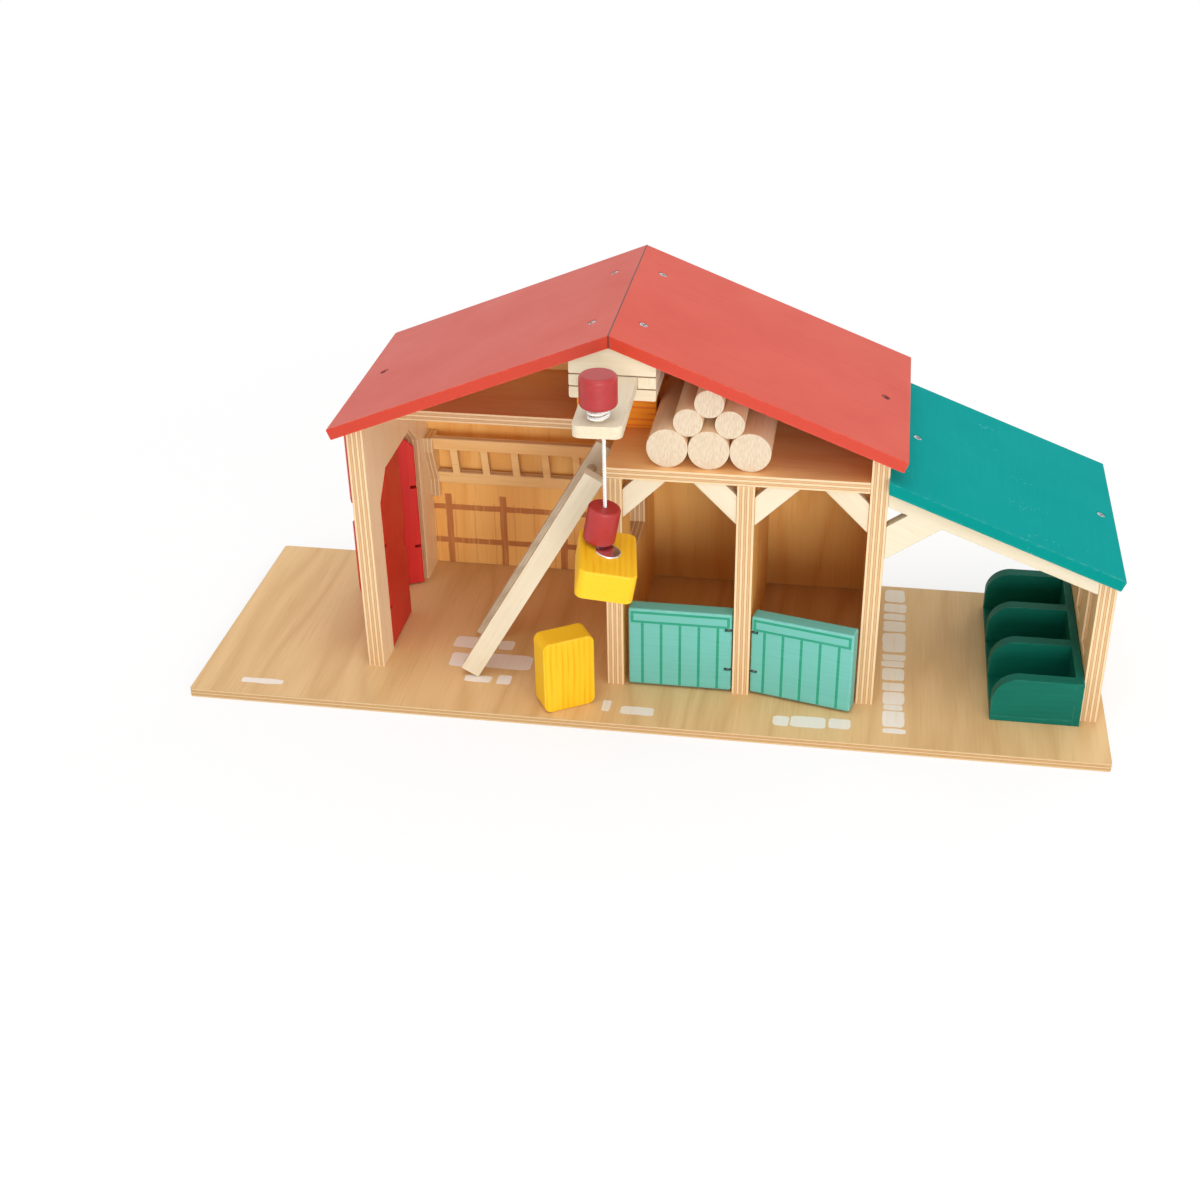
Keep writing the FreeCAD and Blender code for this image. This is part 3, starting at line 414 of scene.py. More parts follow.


# Bare wood

# the seam colour is painted shadow, for the gaps between the crane's glued layers
bareSettings = {"rings": 34, "shares": (0.22, 0.6, 0.55, 0.35), "poreScale": (900, 110),
                "pore": (0.6, 0.74), "poreDark": 0.3, "sawn": 1500, "sawnAlong": 300, "speckSwing": 1.2,
                "speckLevel": 0.2, "seam": rgb(120, 84, 50), "seamFade": (mm(0.25), mm(0.6)),
                "roughSwing": 0.1, "rough": 0.5, "specular": 0.28, "bump": (0.16, mm(0.3))}
paleTones = {"light": rgb(220, 208, 183), "dark": rgb(203, 182, 147)}
logTones = {"light": rgb(234, 205, 168), "dark": rgb(211, 167, 120)}
endTones = {"light": rgb(218, 203, 180), "dark": rgb(190, 165, 134)}


def bareWood(node, along, seed, light, dark, board=None, ends=endTones, joins=()):
    # planed wood: long fibres with short dark pores on the sides, speckled end grain across them
    board = board or boardFrame(node)
    surface = newSurface(node + "Wood")
    local = surface.local(board)
    lines, fibre, broad = woodFigure(surface, local, along, bareSettings["rings"], seed)
    pores = surface.streaks(local, grainScale(along, *bareSettings["poreScale"]))
    pores = pores.ramp(*bareSettings["pore"])
    side = surface.mix(figureTone((lines, fibre, broad), bareSettings["shares"]), light, dark)
    side = surface.mix(pores * bareSettings["poreDark"], side, dark)
    sawn = grainScale((along + 1) % 3, bareSettings["sawn"], bareSettings["sawnAlong"])
    speck = surface.streaks(local, sawn, *fineNoise)
    speckTone = speck * bareSettings["speckSwing"] - bareSettings["speckLevel"]
    end = surface.mix(speckTone.ramp(0, 1), ends["light"], ends["dark"])
    onEnd = squareTo(surface, board, along)
    color = surface.mix(onEnd, side, end)
    for level in joins:
        # painted shadow: a dark line in the gap where the next glued layer begins
        away = abs(surface.parts(surface.objectPlace())[2] - level)
        color = surface.mix(1 - away.ramp(*bareSettings["seamFade"]), color, bareSettings["seam"])
    height = (fibre - pores) * (1 - onEnd) + speck * onEnd
    rough = speck * bareSettings["roughSwing"] + bareSettings["rough"]
    wear(node, surface.finish(color=color, rough=rough, specular=bareSettings["specular"],
                              normal=surface.bump(height, *bareSettings["bump"])))


craneLow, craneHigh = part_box("crane_side_blocks")
craneJoins = {"crane_gable_block": [craneHigh.z], "crane_side_blocks": [craneLow.z, craneHigh.z],
              "crane_bottom_plate": [craneLow.z]}
braces = ["stall_brace_%d" % number for number in range(1, 5)]
palePieces = ["lean_to_truss", "lean_to_cleat"] + braces + [
    "crane_gable_block", "rear_ridge_block", "crane_bottom_plate", "crane_beam", "ladder_near_rail",
    "ladder_far_rail"]
for index, node in enumerate(palePieces):
    bareWood(node, 0, 1.7 * index + 0.3, ends=paleTones, joins=craneJoins.get(node, ()), **paleTones)
# pieces of several solids or round ones: axis of the grain, seed, middle and tones of the ends
looseWood = {"winch_spindle": (2, 5.1, (-0.0139, -0.1215, 0.237), endTones),
             "crane_side_blocks": (1, 6.6, (-0.0162, -0.035, 0.227), paleTones),
             "ladder_rungs": (1, 8.8, (-0.073, -0.032, 0.085), endTones)}
for node, (along, seed, middle, ends) in looseWood.items():
    bareWood(node, along, seed, board=plainFrame(middle), ends=ends, joins=craneJoins.get(node, ()),
             **paleTones)
logs = ["log_large_1", "log_large_2", "log_large_3", "log_small_1", "log_small_2", "log_top_1"]
for index, node in enumerate(logs):
    bareWood(node, 1, 2.3 * index + 0.4, board=boxFrame(node), **logTones)
print("bare wood:", len(palePieces) + len(looseWood) + len(logs), "nodes")


# Paint

paintSettings = {"rings": 40, "cloudScale": 16, "cloud": (0.3, 0.75), "dustScale": 520, "dust": (0.7, 0.78),
                 "dustInk": 0.12, "scuffScale": 210, "scuff": (0.35, 0.65), "wearWide": mm(1.1),
                 "patchScale": (40, 22, 22), "patch": (0.58, 0.72), "nickScale": (420, 900, 900),
                 "nick": (0.7, 0.74), "roughSwing": 0.16, "roughDrop": 0.08, "fibreHeight": 0.6,
                 "ringHeight": 0.2, "wearDepth": 0.5, "bump": mm(0.3)}


def painted(node, base, deep, pale, seed=2.1, gloss=0.42, specular=0.5, grain=0.1, chips=0, edges=0.35,
            board=None, ends=None):
    # brushed paint: faint clouding, the wood's grain telegraphing through, rubbed arrises and a few chips
    board = board or boardFrame(node)
    surface = newSurface(node + "Paint")
    local = surface.local(board)
    lines, fibre, broad = woodFigure(surface, local, 0, paintSettings["rings"], seed)
    cloud = surface.noise(local, paintSettings["cloudScale"], *fineNoise)
    color = surface.mix((cloud * 0.5 + fibre * 0.5).ramp(*paintSettings["cloud"]), base, deep)
    if ends:
        # the board's ends are darker: partly end grain soaking up the paint, partly painted shade on the
        # edges that face the lamps
        color = surface.mix(1 - squareTo(surface, board, 2), color, ends)
    dust = surface.noise(local, paintSettings["dustScale"]).ramp(*paintSettings["dust"])
    color = surface.mix(dust * paintSettings["dustInk"], color, pale)
    scuff = surface.noise(local, paintSettings["scuffScale"], *fineNoise).ramp(*paintSettings["scuff"])
    rubbed = nearEdge(surface, local, board["size"], paintSettings["wearWide"]) * scuff * edges
    if chips:
        patch = surface.streaks(local, paintSettings["patchScale"]).ramp(*paintSettings["patch"])
        nick = surface.streaks(local, paintSettings["nickScale"], 1).ramp(*paintSettings["nick"])
        rubbed = rubbed.most(patch * nick * chips)
    color = surface.mix(rubbed, color, pale)
    height = (fibre * paintSettings["fibreHeight"] + lines * paintSettings["ringHeight"]
              - rubbed * paintSettings["wearDepth"])
    rough = cloud * paintSettings["roughSwing"] + gloss - paintSettings["roughDrop"]
    normal = surface.bump(height, grain, paintSettings["bump"])
    surface.finish(rough=rough, specular=specular, normal=normal)
    return surface, color, local, fibre


def paintedNode(node, **look):
    surface, color, local, fibre = painted(node, **look)
    wear(node, surface.finish(color=color))


# the ends colours of the red and teal roofs are partly painted shade on their lit edges
redLook = {"base": rgb(205, 61, 25), "deep": rgb(196, 52, 20), "pale": rgb(230, 112, 86),
           "ends": rgb(190, 48, 17), "gloss": 0.4, "grain": 0.05, "edges": 0.18, "chips": 0.25}
leafLook = {"base": rgb(210, 40, 34), "deep": rgb(194, 30, 28), "pale": rgb(226, 120, 100), "specular": 0.4}
tealLook = {"base": rgb(0, 150, 146), "deep": rgb(0, 144, 140), "pale": rgb(140, 208, 200),
            "ends": rgb(0, 131, 124), "gloss": 0.65, "specular": 0.05, "chips": 0.7, "grain": 0.05,
            "edges": 0.12}
knobLook = {"base": rgb(172, 44, 42), "deep": rgb(158, 34, 36), "pale": rgb(206, 100, 92), "gloss": 0.4,
            "edges": 0}
nestLook = {"base": rgb(6, 104, 86), "deep": rgb(4, 90, 76), "pale": rgb(66, 138, 126), "gloss": 0.55,
            "specular": 0.15, "edges": 0.3, "grain": 0.06}
mintLook = {"base": rgb(106, 180, 168), "deep": rgb(100, 172, 161), "pale": rgb(176, 222, 212),
            "gloss": 0.5, "specular": 0.3, "grain": 0.04}
strawLook = {"base": rgb(238, 187, 38), "deep": rgb(234, 178, 22), "pale": rgb(250, 218, 100), "gloss": 0.5,
             "specular": 0.2, "grain": 0.05}
# painted shade: the bale in the loft, in the shade under the roof, is given a deeper orange than the other
# two
loftShadedLook = {**strawLook, "base": rgb(240, 150, 34), "deep": rgb(232, 140, 24), "pale": rgb(246, 190, 90)}

# painted shadow: a dark line along the joint of the two roof boards, where shade falls in the gap between
# them
ridgeShadowSettings = {"ridge": -0.018, "fade": (mm(0.2), mm(0.75)), "dark": rgb(96, 26, 18)}
roofs = {"roof_left": 4.1, "roof_right": 5.1}
for node, seed in roofs.items():
    surface, color, local, fibre = painted(node, seed=seed, **redLook)
    fromRidge = abs(surface.parts(surface.objectPlace())[0] - ridgeShadowSettings["ridge"])
    seam = 1 - fromRidge.ramp(*ridgeShadowSettings["fade"])
    wear(node, surface.finish(color=surface.mix(seam, color, ridgeShadowSettings["dark"])))
paintedNode("lean_to_roof", **tealLook)
leaves = {"near_leaf": 7.1, "far_leaf": 8.1}
for node, seed in leaves.items():
    paintedNode(node, seed=seed, **leafLook)
knobs = {"winch_knob": 9.1, "hook_body": 10.1}
for node, seed in knobs.items():
    paintedNode(node, seed=seed, board=boxFrame(node), **knobLook)
nestPieces = ["nest_floor", "nest_back"] + ["nest_divider_%d" % number for number in range(1, 5)]
for index, node in enumerate(nestPieces):
    paintedNode(node, seed=3.3 * index, **nestLook)

# printed lines on the stable doors, in millimetres; the step of the planks is a share of the door's width
doorSettings = {"ink": rgb(18, 142, 108), "line": 1.8, "headTop": 1.7, "headLow": 10.4, "inset": 1.6,
                "planks": 5, "step": 0.182, "foot": 1, "faceDepth": 0.6, "fibreInk": 0.5, "leastInk": 0.65}
stableDoors = {"left_stable_door": 1.4, "right_stable_door": 6.2}


def doorFrame(node):
    # x along the door, y up, z out of its printed face
    face = boardFrame(node)["axes"].col[2]
    face = -face if face.y > 0 else face
    up = Vector((0, 0, 1))
    return framed(node, Matrix((up.cross(face), up, face)).transposed())


def stableDoor(node, seed):
    door = doorFrame(node)
    surface, color, local, fibre = painted(node, seed=seed, board=door, **mintLook)
    x, y, z = surface.parts(local)
    wide, tall, thick = door["size"]
    line, top, low, inset, foot, faceDepth = [
        mm(doorSettings[key]) for key in ("line", "headTop", "headLow", "inset", "foot", "faceDepth")]
    down = tall / 2 - y
    side = wide / 2 - inset
    inBox = (abs(x) < side) * (down > top) * (down < low)
    inHole = (abs(x) < side - line) * (down > top + line) * (down < low - line)
    middles = [(index - (doorSettings["planks"] - 1) / 2) * doorSettings["step"] * wide
               for index in range(doorSettings["planks"])]
    planks = [(abs(x - middle) < line / 2) * (down > low - line) * (down < tall - foot)
              for middle in middles]
    strength = (fibre * doorSettings["fibreInk"] + doorSettings["leastInk"]).least(1)
    ink = union([inBox - inHole] + planks) * (z > thick / 2 - faceDepth) * strength
    wear(node, surface.finish(color=surface.mix(ink, color, doorSettings["ink"])))


for node, seed in stableDoors.items():
    stableDoor(node, seed)

# straw stripes down the large faces of the bales
baleSettings = {"spacing": mm(3.9), "wander": 7, "strength": 0.75, "driftScale": (16, 55, 10),
                "fadeScale": (24, 180, 10), "wave": (-0.1, 0.9), "fade": (0.25, 0.6), "face": (0.75, 0.95)}
bales = {"hanging_bale": (1.3, rgb(232, 160, 0), strawLook),
         "floor_bale": (4.0, rgb(232, 160, 0), strawLook),
         # painted shade: darker stripes on the bale in the loft
         "loft_bale": (6.7, rgb(216, 98, 34), loftShadedLook)}


def bale(node, seed, stripe, look):
    board = boardFrame(node)
    surface, color, local, fibre = painted(node, seed=seed, board=board, **look)
    moved = surface.shifted(local, (seed, seed, seed))
    drift = surface.streaks(moved, baleSettings["driftScale"]) - 0.5
    fade = surface.streaks(moved, baleSettings["fadeScale"]).ramp(*baleSettings["fade"])
    turns = surface.parts(local)[1] * (2 * math.pi / baleSettings["spacing"])
    wave = (turns + drift * baleSettings["wander"]).sine().ramp(*baleSettings["wave"])
    onFace = abs(surface.facing(board["axes"].col[2])).ramp(*baleSettings["face"])
    mark = wave * fade * onFace * baleSettings["strength"]
    wear(node, surface.finish(color=surface.mix(mark, color, stripe)))


for node, marks in bales.items():
    bale(node, *marks)
paintedGroups = (roofs, ["lean_to_roof"], leaves, knobs, nestPieces, stableDoors, bales)
print("paint:", sum(len(group) for group in paintedGroups), "nodes")


# Metal

metalSettings = {"smearScale": 90, "smear": (0.3, 0.7), "smearInk": 0.5, "darker": 0.82, "scratchLong": 6,
                 "scratchRough": 0.16, "smearRough": 0.06, "bump": (0.05, mm(0.1))}
# roof paint has run over the eave screws of the red roof, the only ones between these levels; their dark
# tone is partly that paint and partly painted shade of deep screw holes
eavePaintAndShade = {"levels": (0.17, 0.21), "tone": rgb(118, 34, 26)}


def metal(name, color, rough, scratches, paintAndShade=None):
    surface = newSurface(name)
    place = surface.objectPlace()
    scale = (scratches, scratches, scratches / metalSettings["scratchLong"])
    scratch = surface.streaks(place, scale, *coarseNoise)
    smear = surface.noise(place, metalSettings["smearScale"])
    darker = tuple(metalSettings["darker"] * part for part in color[:3]) + (1,)
    tone = surface.mix(smear.ramp(*metalSettings["smear"]) * metalSettings["smearInk"], color, darker)
    shine = 1
    # a dark tone between the levels: partly paint run over the head, partly painted shade of a deep hole
    if paintAndShade:
        over = band(surface.parts(place)[2], *paintAndShade["levels"])
        tone = surface.mix(over, tone, paintAndShade["tone"])
        shine = 1 - over
    dull = scratch * metalSettings["scratchRough"] + smear * metalSettings["smearRough"] + rough
    return surface.finish(color=tone, metal=shine, rough=dull,
                          normal=surface.bump(scratch, *metalSettings["bump"]))


wire = metal("wireSteel", rgb(128, 126, 124), 0.24, 1500)
zinc = metal("screwZinc", rgb(205, 205, 206), 0.22, 2200, paintAndShade=eavePaintAndShade)
chrome = metal("plateChrome", rgb(236, 236, 238), 0.04, 700)
wires = ("hinge_eyes", "near_leaf_pins", "far_leaf_pins", "left_stable_pins", "right_stable_pins")
plates = ("hook_magnet", "bale_plate")
for node in wires:
    wear(node, wire)
for node in plates:
    wear(node, chrome)
print("metal:", len(wires) + len(plates), "nodes")


# Sanded edges on the boards, widths in millimetres

edgeSettings = {"angle": 32, "segments": 2, "weld": 0.002}
edgeWidths = {
    1.1: ["crane_gable_block", "crane_side_blocks", "crane_bottom_plate"],
    0.8: ["roof_left", "roof_right", "lean_to_roof", "base_plate", "lean_to_truss", "rear_ridge_block",
          "crane_beam", "ladder_near_rail", "ladder_far_rail", "hay_rack_sides"] + braces,
    0.5: ["left_wall", "stall_wall", "middle_wall", "right_wall", "back_wall", "loft_floor", "lean_to_wall",
          "lean_to_cleat", "hay_rack_grille", "ladder_rungs", "nest_floor", "nest_back"] + logs}


def softenEdges(node, width):
    weld = nodes[node].modifiers.new("weld", "WELD")
    weld.merge_threshold = mm(edgeSettings["weld"])
    bevel = nodes[node].modifiers.new("sanded", "BEVEL")
    bevel.limit_method = "ANGLE"
    bevel.angle_limit = math.radians(edgeSettings["angle"])
    bevel.width = mm(width)
    bevel.segments = edgeSettings["segments"]
    bevel.harden_normals = True


for width, boards in edgeWidths.items():
    for node in boards:
        softenEdges(node, width)
print("sanded edges:", sum(len(boards) for boards in edgeWidths.values()), "nodes")


# Geometry Nodes helpers; settings with a capital letter are a tree's named inputs

def treeSizes(settings):
    return {key: value for key, value in settings.items() if key[0].isupper()}


def newTree(name, settings):
    tree = bpy.data.node_groups.new(name, "GeometryNodeTree")
    tree.interface.new_socket("Geometry", in_out="INPUT", socket_type="NodeSocketGeometry")
    for label in treeSizes(settings):
        tree.interface.new_socket(label, in_out="INPUT", socket_type="NodeSocketFloat")
    tree.interface.new_socket("Geometry", in_out="OUTPUT", socket_type="NodeSocketGeometry")
    return tree, tree.nodes.new("NodeGroupInput").outputs


def step(tree, kind, settings, inputs, out=0):
    made = tree.nodes.new(kind)
    for key, value in settings.items():
        setattr(made, key, value)
    for key, value in inputs.items():
        for one in value if isinstance(value, list) else [value]:
            if isinstance(one, bpy.types.NodeSocket):
                tree.links.new(one, made.inputs[key])
            else:
                made.inputs[key].default_value = one
    return made.outputs[out] if made.outputs else None


def minus(tree, first, second):
    return step(tree, "ShaderNodeMath", {"operation": "SUBTRACT"}, {0: first, 1: second})


def half(tree, value):
    return step(tree, "ShaderNodeMath", {"operation": "MULTIPLY"}, {0: value, 1: 0.5})


def sunk(tree, shape, depth):
    down = step(tree, "ShaderNodeCombineXYZ", {}, {"Z": minus(tree, 0, depth)})
    return step(tree, "GeometryNodeTransform", {}, {"Geometry": shape, "Translation": down})


def pointVector(tree, name):
    return step(tree, "GeometryNodeInputNamedAttribute", {"data_type": "FLOAT_VECTOR"}, {"Name": name})


def onPoints(tree, points, shape, **placing):
    spread = step(tree, "GeometryNodeInstanceOnPoints", {},
                  {"Points": points, "Instance": shape, **placing})
    return step(tree, "GeometryNodeRealizeInstances", {}, {"Geometry": spread})


def closeTree(tree, shape, material):
    dressed = step(tree, "GeometryNodeSetMaterial", {}, {"Geometry": shape, "Material": material})
    step(tree, "NodeGroupOutput", {}, {"Geometry": dressed})
    return tree


def scatter(name, points, attributes, tree, settings):
    # one plain mesh from a tree that stands a shape on each point
    mesh = bpy.data.meshes.new(name + "Points")
    mesh.from_pydata(points, [], [])
    for label, values in attributes.items():
        made = mesh.attributes.new(label, "FLOAT_VECTOR", "POINT")
        made.data.foreach_set("vector", [part for value in values for part in value])
    holder = bpy.data.objects.new(name, mesh)
    bpy.context.scene.collection.objects.link(holder)
    modifier = holder.modifiers.new("scatter", "NODES")
    modifier.node_group = tree
    sizes = treeSizes(settings)
    for item in tree.interface.items_tree:
        if item.in_out == "INPUT" and item.name in sizes:
            modifier[item.identifier] = sizes[item.name]
    bpy.context.view_layer.update()
    made = bpy.data.meshes.new_from_object(holder.evaluated_get(bpy.context.evaluated_depsgraph_get()))
    holder.modifiers.clear()
    holder.data = made
    made.name = name
    return holder


# Roof screws

screwSettings = {"Head": mm(6.0), "Shank": mm(3.0), "Sink": mm(1.6), "Length": mm(16), "Cross": mm(3.9),
                 "Slot": mm(0.85), "Depth": mm(0.9), "open": mm(0.1), "headSides": 28, "shankSides": 20,
                 "spin": 1.9, "apart": mm(25)}


def screwTree():
    tree, given = newTree("crossScrew", screwSettings)
    head = step(tree, "GeometryNodeMeshCone", {},
                {"Vertices": screwSettings["headSides"], "Radius Top": half(tree, given["Head"]),
                 "Radius Bottom": half(tree, given["Shank"]), "Depth": given["Sink"]})
    slotDepth = half(tree, minus(tree, given["Depth"], screwSettings["open"]))
    slots = []
    for long, wide in (("Cross", "Slot"), ("Slot", "Cross")):
        size = step(tree, "ShaderNodeCombineXYZ", {},
                    {"X": given[long], "Y": given[wide], "Z": given["Depth"]})
        slots.append(sunk(tree, step(tree, "GeometryNodeMeshCube", {}, {"Size": size}), slotDepth))
    head = step(tree, "GeometryNodeMeshBoolean", {"operation": "DIFFERENCE"},
                {"Mesh 1": sunk(tree, head, given["Sink"]), "Mesh 2": slots})
    rest = minus(tree, given["Length"], given["Sink"])
    shank = step(tree, "GeometryNodeMeshCylinder", {},
                 {"Vertices": screwSettings["shankSides"], "Radius": half(tree, given["Shank"]),
                  "Depth": rest})
    shank = sunk(tree, sunk(tree, shank, given["Sink"]), half(tree, rest))
    screw = step(tree, "GeometryNodeJoinGeometry", {}, {"Geometry": [head, shank]})
    turn = step(tree, "FunctionNodeEulerToRotation", {}, {"Euler": pointVector(tree, "turn")})
    return closeTree(tree, onPoints(tree, given["Geometry"], screw, Rotation=turn), zinc)


def screwPlaces():
    # each screw's axis is the long direction of its own vertices, and its head is at the upper end
    left = np.array([v.co for v in nodes["roof_screws"].data.vertices])
    heads, turns = [], []
    while len(left):
        own = np.linalg.norm(left - left[0], axis=1) < screwSettings["apart"]
        cluster, left = left[own], left[~own]
        middle = (cluster.min(0) + cluster.max(0)) / 2
        axis = Vector(np.linalg.svd(cluster - cluster.mean(0), full_matrices=False)[2][0])
        axis = -axis if axis.z < 0 else axis
        reach = ((cluster - middle) @ np.array(axis)).max()
        heads.append(Vector(middle) + axis * reach)
        spin = Matrix.Rotation(screwSettings["spin"] * len(heads), 3, "Z")
        turns.append((axis.to_track_quat("Z", "Y").to_matrix() @ spin).to_euler())
    return heads, turns


heads, turns = screwPlaces()
screws = scatter("roofScrewHeads", heads, {"turn": turns}, screwTree(), screwSettings)
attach(screws, "barn")
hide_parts("roof_screws")
print("screws:", len(heads))


# Printed paving stones: middle x and y, width and depth in millimetres from the base's front left corner

stoneSettings = {"Round": 0.17, "Wobble": mm(1.9), "Ripple": 105.0, "ink": rgb(236, 227, 216),
                 "above": mm(0.04), "cornerPoints": 5, "outlinePoints": 44, "fibreScale": (620, 24, 620),
                 "fibre": (0.5, 0.85), "fibreInk": 0.4, "roughSwing": 0.1, "rough": 0.5, "specular": 0.25,
                 "bump": (0.1, mm(0.2))}
stonePlaces = [
    (464.6, 186.3, 13.9, 17.2), (465.0, 169.6, 15.8, 11.8), (464.6, 157.3, 14.8, 8.4),
    (465.0, 144.4, 15.5, 13.6), (464.8, 123.0, 15.7, 24.6), (465.0, 103.7, 15.3, 7.2),
    (464.5, 95.6, 15.2, 7.4), (464.9, 82.9, 14.8, 14.5), (465.2, 67.7, 14.4, 9.6),
    (465.6, 54.2, 14.0, 14.6), (465.3, 43.4, 11.9, 6.1), (465.9, 30.1, 14.5, 18.2),
    (466.7, 16.8, 15.1, 5.0), (280.4, 19.5, 5.3, 12.1), (301.0, 16.2, 22.0, 9.0),
    (45.5, 16.0, 29.0, 6.0), (172.0, 83.0, 18.0, 14.0), (174.5, 60.5, 19.0, 17.0),
    (206.0, 62.0, 32.0, 18.0), (189.5, 39.0, 18.5, 8.0), (207.4, 40.0, 9.5, 11.0),
    (200.0, 82.5, 10.0, 11.0), (394.5, 18.0, 10.0, 11.0), (411.8, 19.0, 22.5, 12.5),
    (432.0, 20.0, 14.0, 11.0),
]


def stoneTree():
    tree, given = newTree("pavingStone", stoneSettings)
    square = step(tree, "GeometryNodeCurvePrimitiveQuadrilateral", {}, {"Width": 1.0, "Height": 1.0})
    loop = step(tree, "GeometryNodeFilletCurve", {"mode": "POLY"},
                {"Curve": square, "Count": stoneSettings["cornerPoints"], "Radius": given["Round"],
                 "Limit Radius": True})
    loop = step(tree, "GeometryNodeResampleCurve", {},
                {"Curve": loop, "Count": stoneSettings["outlinePoints"]})
    stone = step(tree, "GeometryNodeFillCurve", {"mode": "NGONS"}, {"Curve": loop})
    plain = onPoints(tree, given["Geometry"], stone, Scale=pointVector(tree, "size"))
    place = step(tree, "GeometryNodeInputPosition", {}, {})
    ripple = step(tree, "ShaderNodeTexNoise", {"noise_dimensions": "3D"},
                  {"Vector": place, "Scale": given["Ripple"], "Detail": 1.0}, 1)
    centred = step(tree, "ShaderNodeVectorMath", {"operation": "SUBTRACT"}, {0: ripple, 1: (0.5, 0.5, 0.5)})
    flat = step(tree, "ShaderNodeVectorMath", {"operation": "MULTIPLY"}, {0: centred, 1: (1, 1, 0)})
    shift = step(tree, "ShaderNodeVectorMath", {"operation": "SCALE"}, {0: flat, "Scale": given["Wobble"]})
    wobbly = step(tree, "GeometryNodeSetPosition", {}, {"Geometry": plain, "Offset": shift})
    return closeTree(tree, wobbly, stoneInk)


def stonePaint():
    # thin pale ink through which the base's fibres show a little
    surface = newSurface("stoneInk")
    fibre = surface.streaks(surface.objectPlace(), stoneSettings["fibreScale"], *fineNoise)
    through = fibre.ramp(*stoneSettings["fibre"]) * stoneSettings["fibreInk"]
    color = surface.mix(through, stoneSettings["ink"], baseTones["light"])
    rough = fibre * stoneSettings["roughSwing"] + stoneSettings["rough"]
    return surface.finish(color=color, rough=rough, specular=stoneSettings["specular"],
                          normal=surface.bump(fibre, *stoneSettings["bump"]))


stoneInk = stonePaint()
baseLow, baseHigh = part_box("base_plate")
stoneMiddles = [(baseLow.x + mm(x), baseLow.y + mm(y), baseHigh.z + stoneSettings["above"])
                for x, y, wide, deep in stonePlaces]
stoneSizes = [(mm(wide), mm(deep), 1) for x, y, wide, deep in stonePlaces]
stones = scatter("pavingPrint", stoneMiddles, {"size": stoneSizes}, stoneTree(), stoneSettings)
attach(stones, "barn")
print("paving stones:", len(stonePlaces))


# Crane cord

cordSettings = {"diameter": mm(2.4), "strands": 3, "lay": mm(5.2), "sides": 8, "spacing": mm(0.4),
                "curveSteps": 24, "curveOrder": 3,
                "spindle": (-0.013935, -0.12147), "hole": (-0.01442, -0.102975), "level": 0.23205,
                "radius": mm(5.6), "turns": 1.75, "rise": mm(3.0), "perTurn": 16, "bend": mm(6),
                "beamLow": 0.22305, "hookTop": 0.16505, "end": 0.16125, "white": rgb(244, 242, 238),
                "shade": rgb(214, 210, 204), "fluffScale": 2600, "outerShare": 0.6, "fluffShare": 0.5,
                "bright": (-0.3, 0.6), "rough": 0.75, "specular": 0.2, "bump": (0.3, mm(0.2))}


def splinePoints(name, route):
    # even points along the NURBS curve that has the route as its control points
    curve = bpy.data.curves.new(name, "CURVE")
    curve.dimensions = "3D"
    curve.resolution_u = cordSettings["curveSteps"]
    spline = curve.splines.new("NURBS")
    spline.points.add(len(route) - 1)
    for point, place in zip(spline.points, route):
        point.co = (*place, 1)
    spline.order_u = cordSettings["curveOrder"]
    spline.use_endpoint_u = True
    holder = bpy.data.objects.new(name, curve)
    bpy.context.scene.collection.objects.link(holder)
    line = bpy.data.meshes.new_from_object(holder.evaluated_get(bpy.context.evaluated_depsgraph_get()))
    raw = np.array([v.co for v in line.vertices])
    bpy.data.objects.remove(holder)
    bpy.data.meshes.remove(line)
    run = np.concatenate([[0], np.cumsum(np.linalg.norm(np.diff(raw, axis=0), axis=1))])
    count = int(run[-1] / cordSettings["spacing"]) + 1
    even = np.linspace(0, run[-1], count)
    return [Vector([np.interp(s, run, raw[:, k]) for k in range(3)]) for s in even], run[-1]


def carriedFrames(line):
    # two directions across the line at each point, carried along without a twist of their own
    along = [(line[min(i + 1, len(line) - 1)] - line[max(i - 1, 0)]).normalized() for i in range(len(line))]
    side = along[0].orthogonal().normalized()
    frames = []
    for way in along:
        side = (side - way * side.dot(way)).normalized()
        frames.append((way, side.copy(), way.cross(side)))
    return frames


def twistedCord(name, line, length):
    # strands laid round the line; three that touch each other fill the cord's diameter
    bm = bmesh.new()
    outward = bm.verts.layers.float.new("twist")
    strandRadius = cordSettings["diameter"] / 2 / (1 + 2 / math.sqrt(3))
    orbit = strandRadius * 2 / math.sqrt(3)
    frames = carriedFrames(line)
    pitch = length / (len(line) - 1) / cordSettings["lay"]
    angles = [2 * math.pi * corner / cordSettings["sides"] for corner in range(cordSettings["sides"])]
    for strand in range(cordSettings["strands"]):
        rings = []
        for index, (place, (way, first, second)) in enumerate(zip(line, frames)):
            turn = 2 * math.pi * (index * pitch + strand / cordSettings["strands"])
            out = first * math.cos(turn) + second * math.sin(turn)
            across = way.cross(out)
            ring = []
            for angle in angles:
                reach = orbit + strandRadius * math.cos(angle)
                vert = bm.verts.new(place + out * reach + across * strandRadius * math.sin(angle))
                vert[outward] = math.cos(angle)
                ring.append(vert)
            rings.append(ring)
        for before, after in zip(rings, rings[1:]):
            for k in range(len(before)):
                bm.faces.new((before[k], before[k - 1], after[k - 1], after[k]))
        bm.faces.new(rings[0])
        bm.faces.new(reversed(rings[-1]))
    bmesh.ops.recalc_face_normals(bm, faces=bm.faces)
    mesh = bpy.data.meshes.new(name)
    bm.to_mesh(mesh)
    bm.free()
    mesh.shade_smooth()
    mesh.materials.append(cordWhite)
    piece = bpy.data.objects.new(name, mesh)
    bpy.context.scene.collection.objects.link(piece)
    return piece


